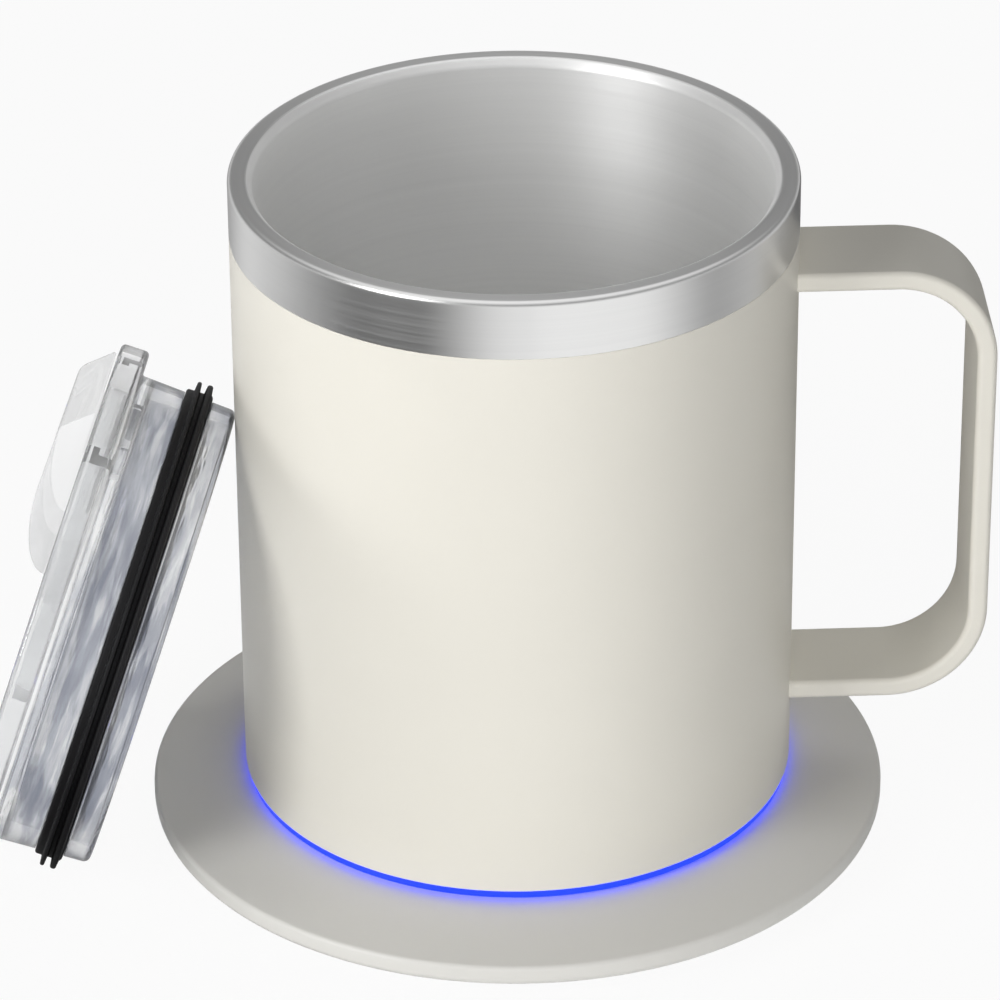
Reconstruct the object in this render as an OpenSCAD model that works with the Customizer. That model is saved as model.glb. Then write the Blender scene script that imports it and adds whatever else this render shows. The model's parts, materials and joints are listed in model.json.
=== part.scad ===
// Self-heating steel mug on its charging coaster, with the clear lid leaning on the mug's side.
// Millimetres, +Z up. The origin is on the mug's axis, on the surface that the coaster stands on.
// The handle points along +X and the coaster's inlet along +Y.

/* [Mug] */
// Outside diameter of the mug
mug_d = 84; // [78:1:92]
// Wall of the outer shell
shell_t = 0.8; // [0.6:0.1:1.2]
// Gap between the outer shell and the inner cup
wall_gap = 2.2; // [1.8:0.1:3]
// Wall of the inner cup
cup_t = 0.8; // [0.6:0.1:1.2]
// Depth of the inner cup, from the lip to its floor
cup_depth = 78; // [70:1:100]
// Radius between the cup's wall and its floor
cup_fillet = 9; // [5:0.5:12]
// How much narrower the cup's radius is at its floor
cup_taper = 0.7; // [0.2:0.1:1.5]
// Height of the bare steel band under the lip
band_h = 9; // [8:0.5:13]
// Width of the lip, seen from above
lip_w = 2.8; // [2.5:0.1:3.2]
// Thickness of the lip
lip_t = 1.2; // [1:0.1:1.4]
// Radius of the lip's edges
lip_round = 0.8; // [0.4:0.1:0.9]
// Height of the lead-in from the lip to the cup's wall
lead_in = 4; // [3:0.5:6]
// Length of the band's spigot inside the outer shell
spigot_h = 3; // [2:0.5:4]
// Wall of the spigot
spigot_t = 0.7; // [0.5:0.1:0.9]

/* [Handle] */
// Width of the handle's strap
handle_w = 16.6; // [12:0.2:22]
// Thickness of the strap
handle_t = 3; // [2:0.1:4]
// How far the handle stands out from the mug's wall
handle_reach = 29.2; // [25:0.2:36]
// Height of the handle, over its two arms
handle_h = 72.8; // [60:0.2:76]
// Distance from the steel band down to the handle's upper arm
handle_land = 5.3; // [4.4:0.1:9]
// Outside radius of the handle's two bends
handle_r = 15; // [8:0.5:20]

/* [Mug base] */
// How far the foot ring stands below the base plate
foot_h = 0.7; // [0.5:0.1:1]
// How deep the foot ring sits in the base plate
foot_sink = 0.6; // [0.4:0.1:0.7]
// Width of the foot ring
foot_w = 5.4; // [5.2:0.1:6.4]
// Land between the foot ring and the base plate's edge
foot_land = 1.5; // [1.4:0.1:2]
// Thickness of the base plate over its screws' heads
seat_t = 0.8; // [0.6:0.1:1.5]
// Depth of the recess under the base plate, inside the foot ring
recess_h = 0.8; // [0.5:0.1:0.9]
// Land between the recess and the foot ring
recess_land = 1.1; // [0.8:0.1:2]
// Height of the outer shell's lower edge over the foot
shell_lift = 1.5; // [1.2:0.1:2]
// Gap under the light ring
light_clear = 0.15; // [0.1:0.05:0.4]
// How far the light ring lies behind the outer shell's face
light_inset = 0.3; // [0.2:0.1:0.5]
// Radial thickness of the light ring's spigot
light_w = 2.2; // [1.8:0.1:2.6]
// Section of the base seal
seal_d = 1; // [0.8:0.1:1.2]
// Thickness of the control board
board_t = 1.2; // [0.8:0.1:1.6]
// Height of the tallest part on the control board
choke_h = 2.4; // [1.8:0.1:4]
// Floor of the battery tray
tray_t = 1.2; // [1:0.1:2]
// Wall of the battery tray's skirt
tray_w = 2; // [1.2:0.1:3]
// Battery pack, length
cell_l = 50; // [36:1:54]
// Battery pack, width
cell_w = 34; // [26:1:38]
// Battery pack, height
cell_h = 7; // [5:0.5:12]
// Free height over the battery pack
cell_room = 0.2; // [0.1:0.1:1]
// Thickness of the insulation pad
pad_t = 2.4; // [1.5:0.1:5]
// Land between the heater film and the bend of the cup's floor
heater_land = 1.5; // [0.5:0.1:4]
// Thickness of the heater film
heater_t = 0.4; // [0.2:0.1:0.8]
// Diameter of the heat sensor
sensor_d = 4.4; // [3:0.1:5]
// Diameter of a connecting wire
wire_d = 1.2; // [0.8:0.1:1.6]
// Number of light-emitting diodes on the board's edge
led_count = 12; // [6:1:24]
// Height of a diode
led_h = 0.8; // [0.5:0.1:1]
// Screws of the base plate, thread diameter
screw_d = 2.5; // [2:0.1:3]
// Screws of the base plate, head diameter
screw_head_d = 4.4; // [3.8:0.1:5]
// Screws of the base plate, head height
screw_head_h = 0.9; // [0.7:0.1:1]
// Outside diameter of a screw post
post_d = 6; // [5:0.1:7]

/* [Button and contacts] */
// Land between the power button's flange and the contact ring
button_land = 2.8; // [2:0.1:4]
// Diameter of the power button
button_d = 9.6; // [8:0.1:10]
// Travel of the power button
button_travel = 0.8; // [0.4:0.1:1.5]
// How far the button lies inside the recess
button_sink = 0.2; // [0.1:0.1:0.4]
// How far the button's flange reaches past its hole
button_lap = 1.2; // [0.8:0.1:1.5]
// Thickness of the button's flange
button_flange_t = 0.8; // [0.5:0.1:1.2]
// Height of the button's stem over its flange
button_stem_h = 0.25; // [0.1:0.05:1]
// Side of the press switch
switch_w = 4.5; // [4:0.1:5]
// Height of the press switch
switch_h = 0.8; // [0.6:0.1:1.5]
// Diameter of the contact disc
disc_d = 8; // [6:0.5:10]
// Mean diameter of the contact ring
ring_d = 21; // [19:0.5:23]
// Width of the contact ring
ring_w = 3; // [2:0.1:4]
// Thickness of the contacts
contact_t = 0.7; // [0.4:0.1:0.8]

/* [Coaster] */
// How far the coaster's rim reaches past the mug
rim_reach = 14.25; // [12:0.25:20]
// How far the coaster's top slopes down to its rim
rim_drop = 2.5; // [1.5:0.1:2.8]
// Thickness of the rim
rim_t = 3.3; // [2.4:0.1:3.6]
// Radius of the rim's upper edge
rim_round = 0.8; // [0.4:0.1:1]
// Radius of the rim's lower edge
rim_under = 1.4; // [0.6:0.1:1.6]
// How far the coaster's flat top reaches past the mug
flat_reach = 1.2; // [0.5:0.1:3]
// How far the plinth reaches past the mug
plinth_reach = 6; // [4:0.5:8]
// Wall of the plinth
plinth_t = 1.6; // [1.2:0.1:2.4]
// How far the mat stands below the coaster's cover
mat_stand = 1; // [0.6:0.1:2]
// How deep the mat sits in the cover
mat_sink = 0.4; // [0.2:0.1:0.6]
// Land between the mat and the cover's edge
mat_land = 3.3; // [2:0.1:5]
// Thickness of the cover over its screws' heads
cover_seat_t = 0.8; // [0.6:0.1:1.5]
// Thickness of the coaster's top
top_t = 1.6; // [1.4:0.1:3]
// Gap round the coaster's locating boss in the mug's recess
boss_gap = 1; // [0.6:0.1:2]
// Gap over the locating boss
boss_room = 0.5; // [0.3:0.1:0.8]
// Screws of the coaster's cover, thread diameter
cover_screw_d = 2; // [1.6:0.1:2.5]
// Screws of the coaster's cover, head diameter
cover_head_d = 3.8; // [3.2:0.1:4.4]
// Screws of the coaster's cover, head height
cover_head_h = 0.8; // [0.6:0.1:1]
// Land between the cover's screws and its edge
cover_screw_land = 8.3; // [7:0.1:12]
// Height of the pegs under the coaster's board
peg_h = 0.4; // [0.2:0.1:0.6]
// Thickness of the coaster's board
dock_t = 1; // [0.8:0.1:1.2]

/* [Contact pins] */
// Diameter of a contact pin
pin_d = 3; // [2:0.1:3.4]
// Travel of a contact pin
pin_travel = 0.8; // [0.4:0.1:1.5]
// How far a pin's collar reaches past the pin
pin_lap = 0.7; // [0.4:0.1:1]
// Thickness of a pin's collar
pin_collar_t = 0.8; // [0.5:0.1:1.2]
// Height of a pin's stem under its collar
pin_stem_h = 1; // [0.6:0.1:2]
// Wall of the housing round the pins
housing_t = 2; // [1.2:0.1:3]
// Wire of the springs
spring_wire = 0.3; // [0.2:0.05:0.4]

/* [Inlet] */
// Width of the inlet's shell
inlet_w = 8.94; // [8.5:0.02:9.2]
// Height of the inlet's shell
inlet_h = 3.2; // [3:0.02:3.3]
// Length of the inlet's shell
inlet_l = 7; // [5:0.1:7.4]
// Wall of the inlet's shell
inlet_t = 0.3; // [0.2:0.05:0.35]
// Width of the tongue inside the inlet
tongue_w = 6.7; // [6:0.1:7]
// Thickness of the tongue
tongue_t = 0.7; // [0.5:0.1:0.9]
// Width of the block round the inlet
inlet_block_w = 15; // [13:0.5:16]

/* [Lid] */
// How far the flange lies over the mug's lip
flange_over = 1.1; // [0.6:0.1:2]
// Thickness of the flange
flange_t = 4.4; // [3.6:0.1:5]
// Radius of the flange's edges
flange_round = 0.7; // [0.3:0.1:1.2]
// Gap between the plug and the cup's mouth
plug_gap = 1.6; // [1.2:0.1:2]
// Depth of the plug under the gasket
plug_tail = 3.9; // [2:0.1:8]
// How much narrower the plug's radius is at its end
plug_taper = 0.7; // [0.2:0.1:1.2]
// Radius of the plug's lower edge
plug_round = 1; // [0.4:0.1:1.4]
// Wall of the plug behind the gasket
groove_wall = 1; // [0.8:0.1:2]
// Thickness of the lid's deck
deck_t = 2.2; // [1.4:0.1:3]
// Distance from the flange down to the gasket
gasket_drop = 6.9; // [4:0.1:12]
// Height of the gasket
gasket_h = 4.4; // [4:0.1:5]
// Depth of the gasket's groove
gasket_sink = 1.3; // [0.8:0.1:1.6]
// How far the gasket's band stands out of its groove
gasket_proud = 0.3; // [0.1:0.1:0.5]
// How far the gasket's fins are squeezed in the cup's mouth
fin_squeeze = 0.2; // [0.1:0.1:0.5]
// Thickness of the gasket's upper and lower fin
fin_t = [0.9, 1.2]; // [0.6:0.1:1.3]
// Distance of the upper and lower fin from the gasket's upper edge
fin_drop = [1.7, 3.4]; // [1:0.1:3.6]
// Diameter of the air vent through the deck
vent_d = 1.8; // [1:0.1:2.5]

/* [Slider] */
// Width of the slider, over its tongues
slider_w = 22; // [18:0.5:26]
// Length of the slider's plate
slider_l = 28; // [26:0.5:32]
// Thickness of the slider's tongues
slider_t = 1.2; // [1:0.1:1.6]
// Travel of the slider
slider_travel = 14; // [12:0.5:15]
// Height of the thumb block over the flange
thumb_h = 5.1; // [3:0.1:7]
// Distance of the thumb block's back from the slider's back
thumb_start = 4.5; // [0:0.5:6]
// Length of the thumb block's rounded back
thumb_back = 13.5; // [6:0.5:16]
// Radius of the thumb block's front edge
thumb_round = 3; // [1:0.1:4]
// Distance of the thumb block's toe from the flange's edge
thumb_toe = 0.8; // [0.5:0.1:3]
// Width of a rail beside the slider
rail_w = 1.6; // [1.2:0.1:2]
// How far a rail's lip reaches over the slider's tongue
rail_lip = 1.2; // [0.8:0.1:1.6]
// Thickness of a rail's lip
rail_t = 1; // [0.8:0.1:1.4]
// How far the rails lie below the flange's top
rail_sink = 1; // [0.1:0.1:1.4]
// Width of the drinking slot, across the lid
slot_w = 15; // [10:0.5:16]
// Height of the drinking slot, along the lid
slot_h = 6; // [4:0.5:6]
// Distance from the slot to the lid's wall
slot_land = 4; // [3.5:0.1:5]
// Thickness of the seal pad under the slider
seal_pad_t = 0.7; // [0.5:0.1:0.8]
// How far the seal pad reaches past the slot
seal_lap = 1.6; // [1:0.1:2]

/* [Lid at rest] */
// Lean of the lid from upright
lid_lean = 18; // [14:0.5:24]
// Turn of the lid's lean away from the handle's axis
lid_yaw = -8.5; // [-14:0.5:0]
// Distance of the lid's middle behind the mug's axis
lid_y = -4; // [-12:0.5:4]
// Gap where the lid leans on the mug
lean_gap = 0.3; // [0.2:0.1:0.6]

/* [Fits] */
// Clearance round a piece that stays where it is fitted
fit_gap = 0.1; // [0.05:0.05:0.15]
// Clearance round a piece that slides
slide_gap = 0.2; // [0.15:0.05:0.25]
// Clearance between a screw's thread and its post
thread_gap = 0.05; // [0.02:0.01:0.1]

/* [Hidden] */
$fn = 96;

// How far a cut runs past the face that it leaves
cut = 1;

// Colours
coat_colour = [0.86, 0.85, 0.80];
steel_colour = [0.72, 0.72, 0.73];
glow_colour = [0.16, 0.28, 1.00];
rubber_colour = [0.08, 0.08, 0.09];
board_colour = [0.10, 0.33, 0.20];
chip_colour = [0.12, 0.12, 0.13];
gold_colour = [0.83, 0.68, 0.32];
clear_colour = [0.85, 0.91, 0.95, 0.45];
film_colour = [0.80, 0.50, 0.16];
pad_colour = [0.78, 0.77, 0.74];
cell_colour = [0.25, 0.40, 0.62];
tray_colour = [0.32, 0.33, 0.35];

// Radii of the mug
mug_r = mug_d / 2;
shell_in = mug_r - shell_t;
mouth_r = shell_in - wall_gap - cup_t;
floor_r = mouth_r - cup_taper;
lip_in = mug_r - lip_w;
spigot_r = shell_in - fit_gap;

// Heights of the coaster
cover_t = mat_sink + cover_head_h + cover_seat_t;
cover_top = mat_stand + cover_t;
dock_z = cover_top + peg_h;
dock_top = dock_z + dock_t;
pin_stem_z = dock_top + pin_travel + slide_gap;
collar_z = pin_stem_z + pin_stem_h;
collar_top = collar_z + pin_collar_t;
bay_top = collar_top + slide_gap;
coaster_h = bay_top + top_t;
boss_top = coaster_h + foot_h + recess_h - boss_room;
rim_top = coaster_h - rim_drop;
rim_low = rim_top - rim_t;

// Heights of the mug, from its foot to its lip
press_gap = 0.1;
plunger_h = 0.2;
parts_room = 0.4;
mug_z = coaster_h;
plate_z = mug_z + foot_h;
groove_top = plate_z + foot_sink;
recess_z = plate_z + recess_h;
screw_seat = groove_top + screw_head_h;
plate_top = screw_seat + seat_t;
button_flange_z = plate_top + thread_gap;
button_flange_top = button_flange_z + button_flange_t;
button_stem_top = button_flange_top + button_stem_h;
plunger_z = button_stem_top + button_travel + press_gap;
switch_z = plunger_z + plunger_h;
board_z = switch_z + switch_h;
board_top = board_z + board_t;
tray_z = board_top + choke_h + parts_room;
tray_top = tray_z + tray_t;
pad_z = tray_top + cell_h + cell_room;
heater_z = pad_z + pad_t;
cup_under = heater_z + heater_t;
cup_z = cup_under + cup_t;
lip_z = cup_z + cup_depth;
band_z = lip_z - band_h;
shell_z = mug_z + shell_lift;

// Handle
handle_x = mug_r + handle_reach;
handle_top = band_z - handle_land;

// Base of the mug
light_r = mug_r - light_inset;
light_in = spigot_r - light_w;
led_gap = 0.2;
light_top = board_z - led_h - led_gap;
plate_r = light_in - fit_gap;
foot_out = plate_r - foot_land;
foot_in = foot_out - foot_w;
recess_r = foot_in - recess_land;
screw_r = (foot_out + foot_in) / 2;
screw_angles = [45 : 90 : 315];
seal_z = (groove_top + plate_top) / 2;
seal_r = light_in - thread_gap - seal_d / 2;
seal_w = seal_d + 2 * fit_gap;
edge_gap = 0.6;
board_r = shell_in - edge_gap;
led_size = [1.4, 2.8];
led_r = board_r - fit_gap - led_size[0] / 2;
skirt_z = board_top + parts_room;
pad_r = spigot_r - edge_gap;
heater_r = floor_r - cup_fillet - heater_land;
rib_t = 1.2;
pocket_l = cell_l + 2 * slide_gap;
pocket_w = cell_w + 2 * slide_gap;
lead_room = 2.5;
lead_y = pocket_w / 2 + rib_t + lead_room;
heater_lead_x = 5;
sensor_lead_x = 1;
cell_lead_y = 3;
cell_tab = [2, 12, 2];
cell_tab_x = cell_l / 2 + cell_tab[0] / 2;
cell_tab_lift = 1;
cell_tab_z = tray_top + cell_tab_lift;
heater_leads = [for (side = [-1, 1]) [side * heater_lead_x, lead_y]];
sensor_leads = [for (side = [-1, 1]) [side * sensor_lead_x, -lead_y]];
cell_leads = [for (side = [-1, 1]) [cell_tab_x, side * cell_lead_y]];

// Chips on the control board: place and size
board_chips = [
    [[-14, -10], [7, 7, 1]], [[13, -12], [7, 7, choke_h]], [[-14, 10], [6, 5, 1.6]],
    for (x = [-4, 0, 4]) [[x, 8], [1.6, 3.2, 1.4]]];

// Contacts and power button
ring_out = (ring_d + ring_w) / 2;
ring_in = (ring_d - ring_w) / 2;
button_r = button_d / 2;
button_hole_r = button_r + slide_gap;
button_flange_r = button_hole_r + button_lap;
button_off = ring_out + button_land + button_flange_r;
button_z = recess_z + button_sink;
button_stem_r = 1.6;
plunger_r = 1.2;
button_coil_r = (switch_w / sqrt(2) + button_flange_r) / 2;

// Coaster
coaster_r = mug_r + rim_reach;
flat_r = mug_r + flat_reach;
plinth_r = mug_r + plinth_reach;
plinth_in = plinth_r - plinth_t;
cover_r = plinth_in - fit_gap;
mat_r = cover_r - mat_land;
boss_r = recess_r - boss_gap;
boss_bevel = 0.4;
cover_screw_r = cover_r - cover_screw_land;
cover_screw_seat = mat_stand + mat_sink + cover_head_h;

// Contact pins
pin_r = pin_d / 2;
pin_x = ring_d / 2;
pin_tip = recess_z - thread_gap;
pin_bevel = 0.5;
collar_r = pin_r + pin_lap;
pin_stem_r = 0.8;
pin_coil_r = (pin_stem_r + collar_r) / 2;
pin_bore_r = collar_r + slide_gap;
housing_w = 2 * (pin_bore_r + housing_t);

// Inlet, and the coaster's board that runs back to it
inlet_land = 1;
inlet_face = sqrt(pow(coaster_r, 2) - pow(inlet_block_w / 2 + inlet_land, 2));
inlet_y = inlet_face - inlet_l - slide_gap;
inlet_z = dock_z + dock_t / 2;
inlet_block_h = rim_low + rim_t / 2 - mat_stand;
tongue_l = 2 * inlet_l / 3;
dock_land = 8;
dock_w = 22;
dock_neck_w = 8;
peg_land = 3;
peg_y = peg_land - dock_w / 2;
dock_pegs = [[peg_land - dock_land, peg_y], [pin_x + dock_land - peg_land, peg_y], [0, plinth_in - dock_land]];

// Chips on the coaster's board: their sizes, in a row along its neck towards the inlet
dock_chip_gap = 3;
dock_chips = [[4, 4, 1], [5, 6, 1.6], [3, 1.6, 1.2], [3, 1.6, 1.2]];
function dock_chip_y(i) = (i == 0 ? dock_w : dock_chips[i - 1].y) / 2 + dock_chip_gap
    + dock_chips[i].y / 2 + (i == 0 ? 0 : dock_chip_y(i - 1));

// Coils
coil_steps = 10;
coil_sides = 6;
coil_turns = 3;

// Lid, with the flange's lower face at height 0 of its own frame
flange_r = lip_in + flange_over;
plug_r = mouth_r - plug_gap;
plug_end_r = plug_r - plug_taper;
groove_r = plug_end_r - gasket_sink;
lid_in = groove_r - groove_wall;
deck_z = flange_t - rail_sink - rail_t - slider_t - 2 * slide_gap;
deck_under = deck_z - deck_t;
gasket_top = -gasket_drop;
gasket_low = gasket_top - gasket_h;
plug_h = gasket_drop + gasket_h + plug_tail;
gasket_r = plug_r + gasket_proud;
fin_r = mouth_r + fin_squeeze;
fin_z = [for (drop = fin_drop) gasket_top - drop];

// Slider
slider_front = lid_in - slide_gap;
slider_back = slider_front - slider_l;
slider_z = deck_z + slide_gap;
slider_top = slider_z + slider_t;
rail_y = slider_w / 2 + slide_gap;
rail_low = slider_top + slide_gap;
rail_top = rail_low + rail_t;
rail_back = slider_back - slider_travel - slide_gap;
slider_mid = [slider_back + slider_l / 2, 0];
neck_w = slider_w - 2 * (rail_lip + slide_gap);
thumb_gap = 0.3;
thumb_z = flange_t + thumb_gap;
thumb_top = flange_t + thumb_h;
toe_x = flange_r - thumb_toe;
slot_x = lid_in - slot_land - slot_h / 2;
lid_seal_back = slot_x - slot_h / 2 - seal_lap;
lid_seal_w = slot_w + 2 * seal_lap;
lid_seal_r = slider_front - slide_gap - fit_gap;
lid_seal_z = slider_z - fit_gap / 2;

// Place of the lid at rest: its lowest circle on the table, and its plug against the mug
lid_edges = [
    [flange_r, 0], [flange_r, flange_t], [fin_r, fin_z[0]], [fin_r, fin_z[1]],
    [plug_end_r, plug_round - plug_h], [plug_end_r - plug_round, -plug_h]];
lid_z = max([for (e = lid_edges) cos(lid_lean) * e[0] - sin(lid_lean) * e[1]]);
lean_points = [for (e = lid_edges, a = [0 : 2 : 358]) lean_point(e[0], e[1], a)];
lid_x = min([for (p = lean_points)
    let (r = stand_r(p[2]), y = lid_y + p[1])
    if (abs(y) < r) -sqrt(r * r - y * y) - p[0]]);

// A point of a lid's circle at angle a, turned as the lid leans but still beside the axis
function lean_point(r, z, a) =
    let (x = sin(lid_lean) * r * cos(a) - cos(lid_lean) * z, y = r * sin(a))
    [cos(lid_yaw) * x - sin(lid_yaw) * y,
     sin(lid_yaw) * x + cos(lid_yaw) * y,
     lid_z + cos(lid_lean) * r * cos(a) + sin(lid_lean) * z];

// Radius round the mug's axis that the lid keeps out of, at a height
function stand_r(z) = (z < coaster_h ? coaster_r : mug_r) + lean_gap;

// Points of an arc about c, from angle a to angle b
function arc(c, r, a, b, steps = 8) =
    [for (i = [0 : steps]) let (t = a + (b - a) * i / steps) c + r * [cos(t), sin(t)]];

// Corners of the wire's section at one place along a coil that stands on height 0
function coil_ring(r, height, t) =
    let (a = 360 * coil_turns * t, z = spring_wire / 2 + (height - spring_wire) * t)
    [for (i = [0 : coil_sides - 1])
        let (b = 360 * i / coil_sides, q = r + spring_wire / 2 * cos(b))
        [q * cos(a), q * sin(a), z + spring_wire / 2 * sin(b)]];

// One unbroken coil spring that stands on height 0
module coil(r, height) {
    steps = coil_turns * coil_steps;
    n = coil_sides;
    rings = [for (i = [0 : steps]) each coil_ring(r, height, i / steps)];
    sides = [for (i = [0 : steps - 1], s = [0 : n - 1], half = [0, 1])
        let (a = i * n + s, b = i * n + (s + 1) % n)
        half == 0 ? [a, b, b + n] : [a, b + n, a + n]];
    start = [for (s = [1 : n - 2]) [0, s + 1, s]];
    end = [for (s = [1 : n - 2]) steps * n * [1, 1, 1] + [0, s, s + 1]];
    polyhedron(rings, concat(sides, start, end));
}

// A ring with a square section
module ring(r_out, r_in, z, h) {
    translate([0, 0, z])
        rotate_extrude()
            translate([r_in, 0])
                square([r_out - r_in, h]);
}

// A box that stands on height z, centred on a point
module box_at(p, z, size) {
    translate([p[0] - size[0] / 2, p[1] - size[1] / 2, z])
        cube(size);
}

// An upright cylinder at a point
module post_at(p, z, r, h) {
    translate([p[0], p[1], z])
        cylinder(r = r, h = h);
}

// Copies at the screws' places on a circle
module at_screws(r) {
    for (a = screw_angles)
        rotate([0, 0, a])
            translate([r, 0, 0])
                children();
}

// A pan-head screw with its head's seat at height 0 and its thread upwards
module screw(d, head_d, head_h, length) {
    difference() {
        union() {
            translate([0, 0, -head_h + fit_gap])
                cylinder(d = head_d, h = head_h - fit_gap);
            cylinder(d = d, h = length);
        }
        for (a = [0, 90])
            rotate([0, 0, a])
                box_at([0, 0], -head_h, [head_d / 2, head_d / 10, head_h / 2]);
    }
}

// A bar along Y with round sides
module round_bar(w, h, l) {
    box_at([0, l / 2], -h / 2, [w - h, l, h]);
    for (side = [-1, 1])
        translate([side * (w - h) / 2, 0, 0])
            rotate([-90, 0, 0])
                cylinder(d = h, h = l);
}

// A shape in the lid's own frame, carried to where the lid leans on the mug
module leaning() {
    translate([lid_x, lid_y, lid_z])
        rotate([0, 0, lid_yaw])
            rotate([0, lid_lean - 90, 0])
                children();
}

// Saucer-like upper shell of the coaster, with the block for the inlet at its back
module coaster_shell() {
    rim = concat(
        [[0, boss_top], [boss_r - boss_bevel, boss_top], [boss_r, boss_top - boss_bevel]],
        [[boss_r, coaster_h], [flat_r, coaster_h]],
        arc([coaster_r - rim_round, rim_top - rim_round], rim_round, 80, 0),
        arc([coaster_r - rim_under, rim_low + rim_under], rim_under, 0, -90),
        [[plinth_r, rim_low], [plinth_r, mat_stand], [plinth_in, mat_stand]],
        [[plinth_in, bay_top], [0, bay_top]]);
    color(coat_colour)
        difference() {
            union() {
                rotate_extrude() polygon(rim);
                at_screws(cover_screw_r)
                    post_at([0, 0], cover_top, post_d / 2, bay_top - cover_top);
                intersection() {
                    box_at([0, coaster_r], mat_stand,
                        [inlet_block_w, 2 * (coaster_r - plinth_in), inlet_block_h]);
                    cylinder(r = coaster_r, h = coaster_h);
                }
            }
            box_at([0, inlet_face + coaster_r / 2], 0, [coaster_r, coaster_r, coaster_h]);
            translate([0, plinth_in - plinth_t, inlet_z])
                round_bar(inlet_w + 2 * slide_gap, inlet_h + 2 * slide_gap, coaster_r);
            for (x = [0, pin_x])
                post_at([x, 0], 0, pin_r + slide_gap, boss_top + cut);
            at_screws(cover_screw_r)
                post_at([0, 0], 0, cover_screw_d / 2 + thread_gap, bay_top + top_t / 2);
        }
}

// Lower cover of the coaster
module coaster_cover() {
    color(coat_colour)
        difference() {
            union() {
                post_at([0, 0], mat_stand, cover_r, cover_t);
                for (p = dock_pegs)
                    post_at(p, cover_top, post_d / 4, peg_h);
            }
            post_at([0, 0], 0, mat_r + fit_gap, mat_stand + mat_sink);
            at_screws(cover_screw_r) {
                post_at([0, 0], 0, cover_screw_d / 2 + fit_gap, cover_top + cut);
                post_at([0, 0], 0, cover_head_d / 2 + fit_gap, cover_screw_seat);
            }
        }
}

// Non-slip mat that the coaster stands on
module coaster_mat() {
    color(rubber_colour)
        post_at([0, 0], 0, mat_r, mat_stand + mat_sink);
}

// Screws that hold the coaster's cover
module coaster_screws() {
    color(steel_colour)
        at_screws(cover_screw_r)
            translate([0, 0, cover_screw_seat])
                screw(cover_screw_d, cover_head_d, cover_head_h, bay_top - cover_screw_seat);
}

// Board of the coaster, with a neck that runs back to the inlet
module dock_board() {
    color(board_colour) {
        box_at([pin_x / 2, 0], dock_z, [pin_x + 2 * dock_land, dock_w, dock_t]);
        box_at([0, inlet_y / 2], dock_z, [dock_neck_w, inlet_y, dock_t]);
    }
}

// Chips on the coaster's board
module dock_parts() {
    color(chip_colour)
        for (i = [0 : len(dock_chips) - 1])
            box_at([0, dock_chip_y(i)], dock_top, dock_chips[i]);
}

// Steel shell of the coaster's inlet
module inlet_shell() {
    color(steel_colour)
        translate([0, inlet_y, inlet_z])
            difference() {
                round_bar(inlet_w, inlet_h, inlet_l);
                translate([0, inlet_t, 0])
                    round_bar(inlet_w - 2 * inlet_t, inlet_h - 2 * inlet_t, inlet_l);
            }
}

// Contact tongue inside the inlet
module inlet_tongue() {
    color(chip_colour)
        box_at([0, inlet_y + inlet_t + tongue_l / 2], inlet_z - tongue_t / 2,
            [tongue_w, tongue_l, tongue_t]);
}

// Housing that guides the two contact pins
module pin_housing() {
    color(chip_colour)
        difference() {
            box_at([pin_x / 2, 0], dock_top,
                [pin_x + housing_w, housing_w, bay_top - dock_top - fit_gap]);
            for (x = [0, pin_x])
                post_at([x, 0], 0, pin_bore_r, coaster_h);
        }
}

// One sprung contact pin, its tip under the mug's contact
module contact_pin(x) {
    color(gold_colour)
        translate([x, 0, 0])
            rotate_extrude()
                polygon([
                    [0, pin_stem_z], [pin_stem_r, pin_stem_z], [pin_stem_r, collar_z], [collar_r, collar_z],
                    [collar_r, collar_top], [pin_r, collar_top], [pin_r, pin_tip - pin_bevel],
                    [pin_r - pin_bevel, pin_tip], [0, pin_tip]]);
}

// Pin under the contact disc
module contact_pin_centre() {
    contact_pin(0);
}

// Pin under the contact ring
module contact_pin_side() {
    contact_pin(pin_x);
}

// One spring between the coaster's board and a pin's collar
module pin_spring(x) {
    color(steel_colour)
        translate([x, 0, dock_top + thread_gap])
            coil(pin_coil_r, collar_z - dock_top - 2 * thread_gap);
}

// Spring of the pin under the contact disc
module pin_spring_centre() {
    pin_spring(0);
}

// Spring of the pin under the contact ring
module pin_spring_side() {
    pin_spring(pin_x);
}

// Painted outer shell of the mug
module outer_shell() {
    color(coat_colour)
        ring(mug_r, shell_in, shell_z, band_z - shell_z);
}

// Bare steel band with the lip and the lead-in to the cup
module rim_band() {
    section = concat(
        [[mug_r, band_z]],
        arc([mug_r - lip_round, lip_z - lip_round], lip_round, 0, 90),
        arc([lip_in + lip_round, lip_z - lip_round], lip_round, 90, 180),
        [[mouth_r, lip_z - lead_in], [mouth_r + cup_t, lip_z - lead_in]],
        [[lip_in + lip_t, lip_z - lip_t], [shell_in, lip_z - lip_t], [shell_in, band_z + spigot_h]],
        [[spigot_r - spigot_t, band_z + spigot_h], [spigot_r - spigot_t, band_z - spigot_h]],
        [[spigot_r, band_z - spigot_h], [spigot_r, band_z]]);
    color(steel_colour)
        rotate_extrude() polygon(section);
}

// Steel inner cup
module inner_cup() {
    bend = [floor_r - cup_fillet, cup_z + cup_fillet];
    section = concat(
        [[0, cup_under]],
        arc(bend, cup_fillet + cup_t, -90, 0),
        [[mouth_r + cup_t, lip_z - lead_in], [mouth_r, lip_z - lead_in]],
        arc(bend, cup_fillet, 0, -90),
        [[0, cup_z]]);
    color(steel_colour)
        rotate_extrude() polygon(section);
}

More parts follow.
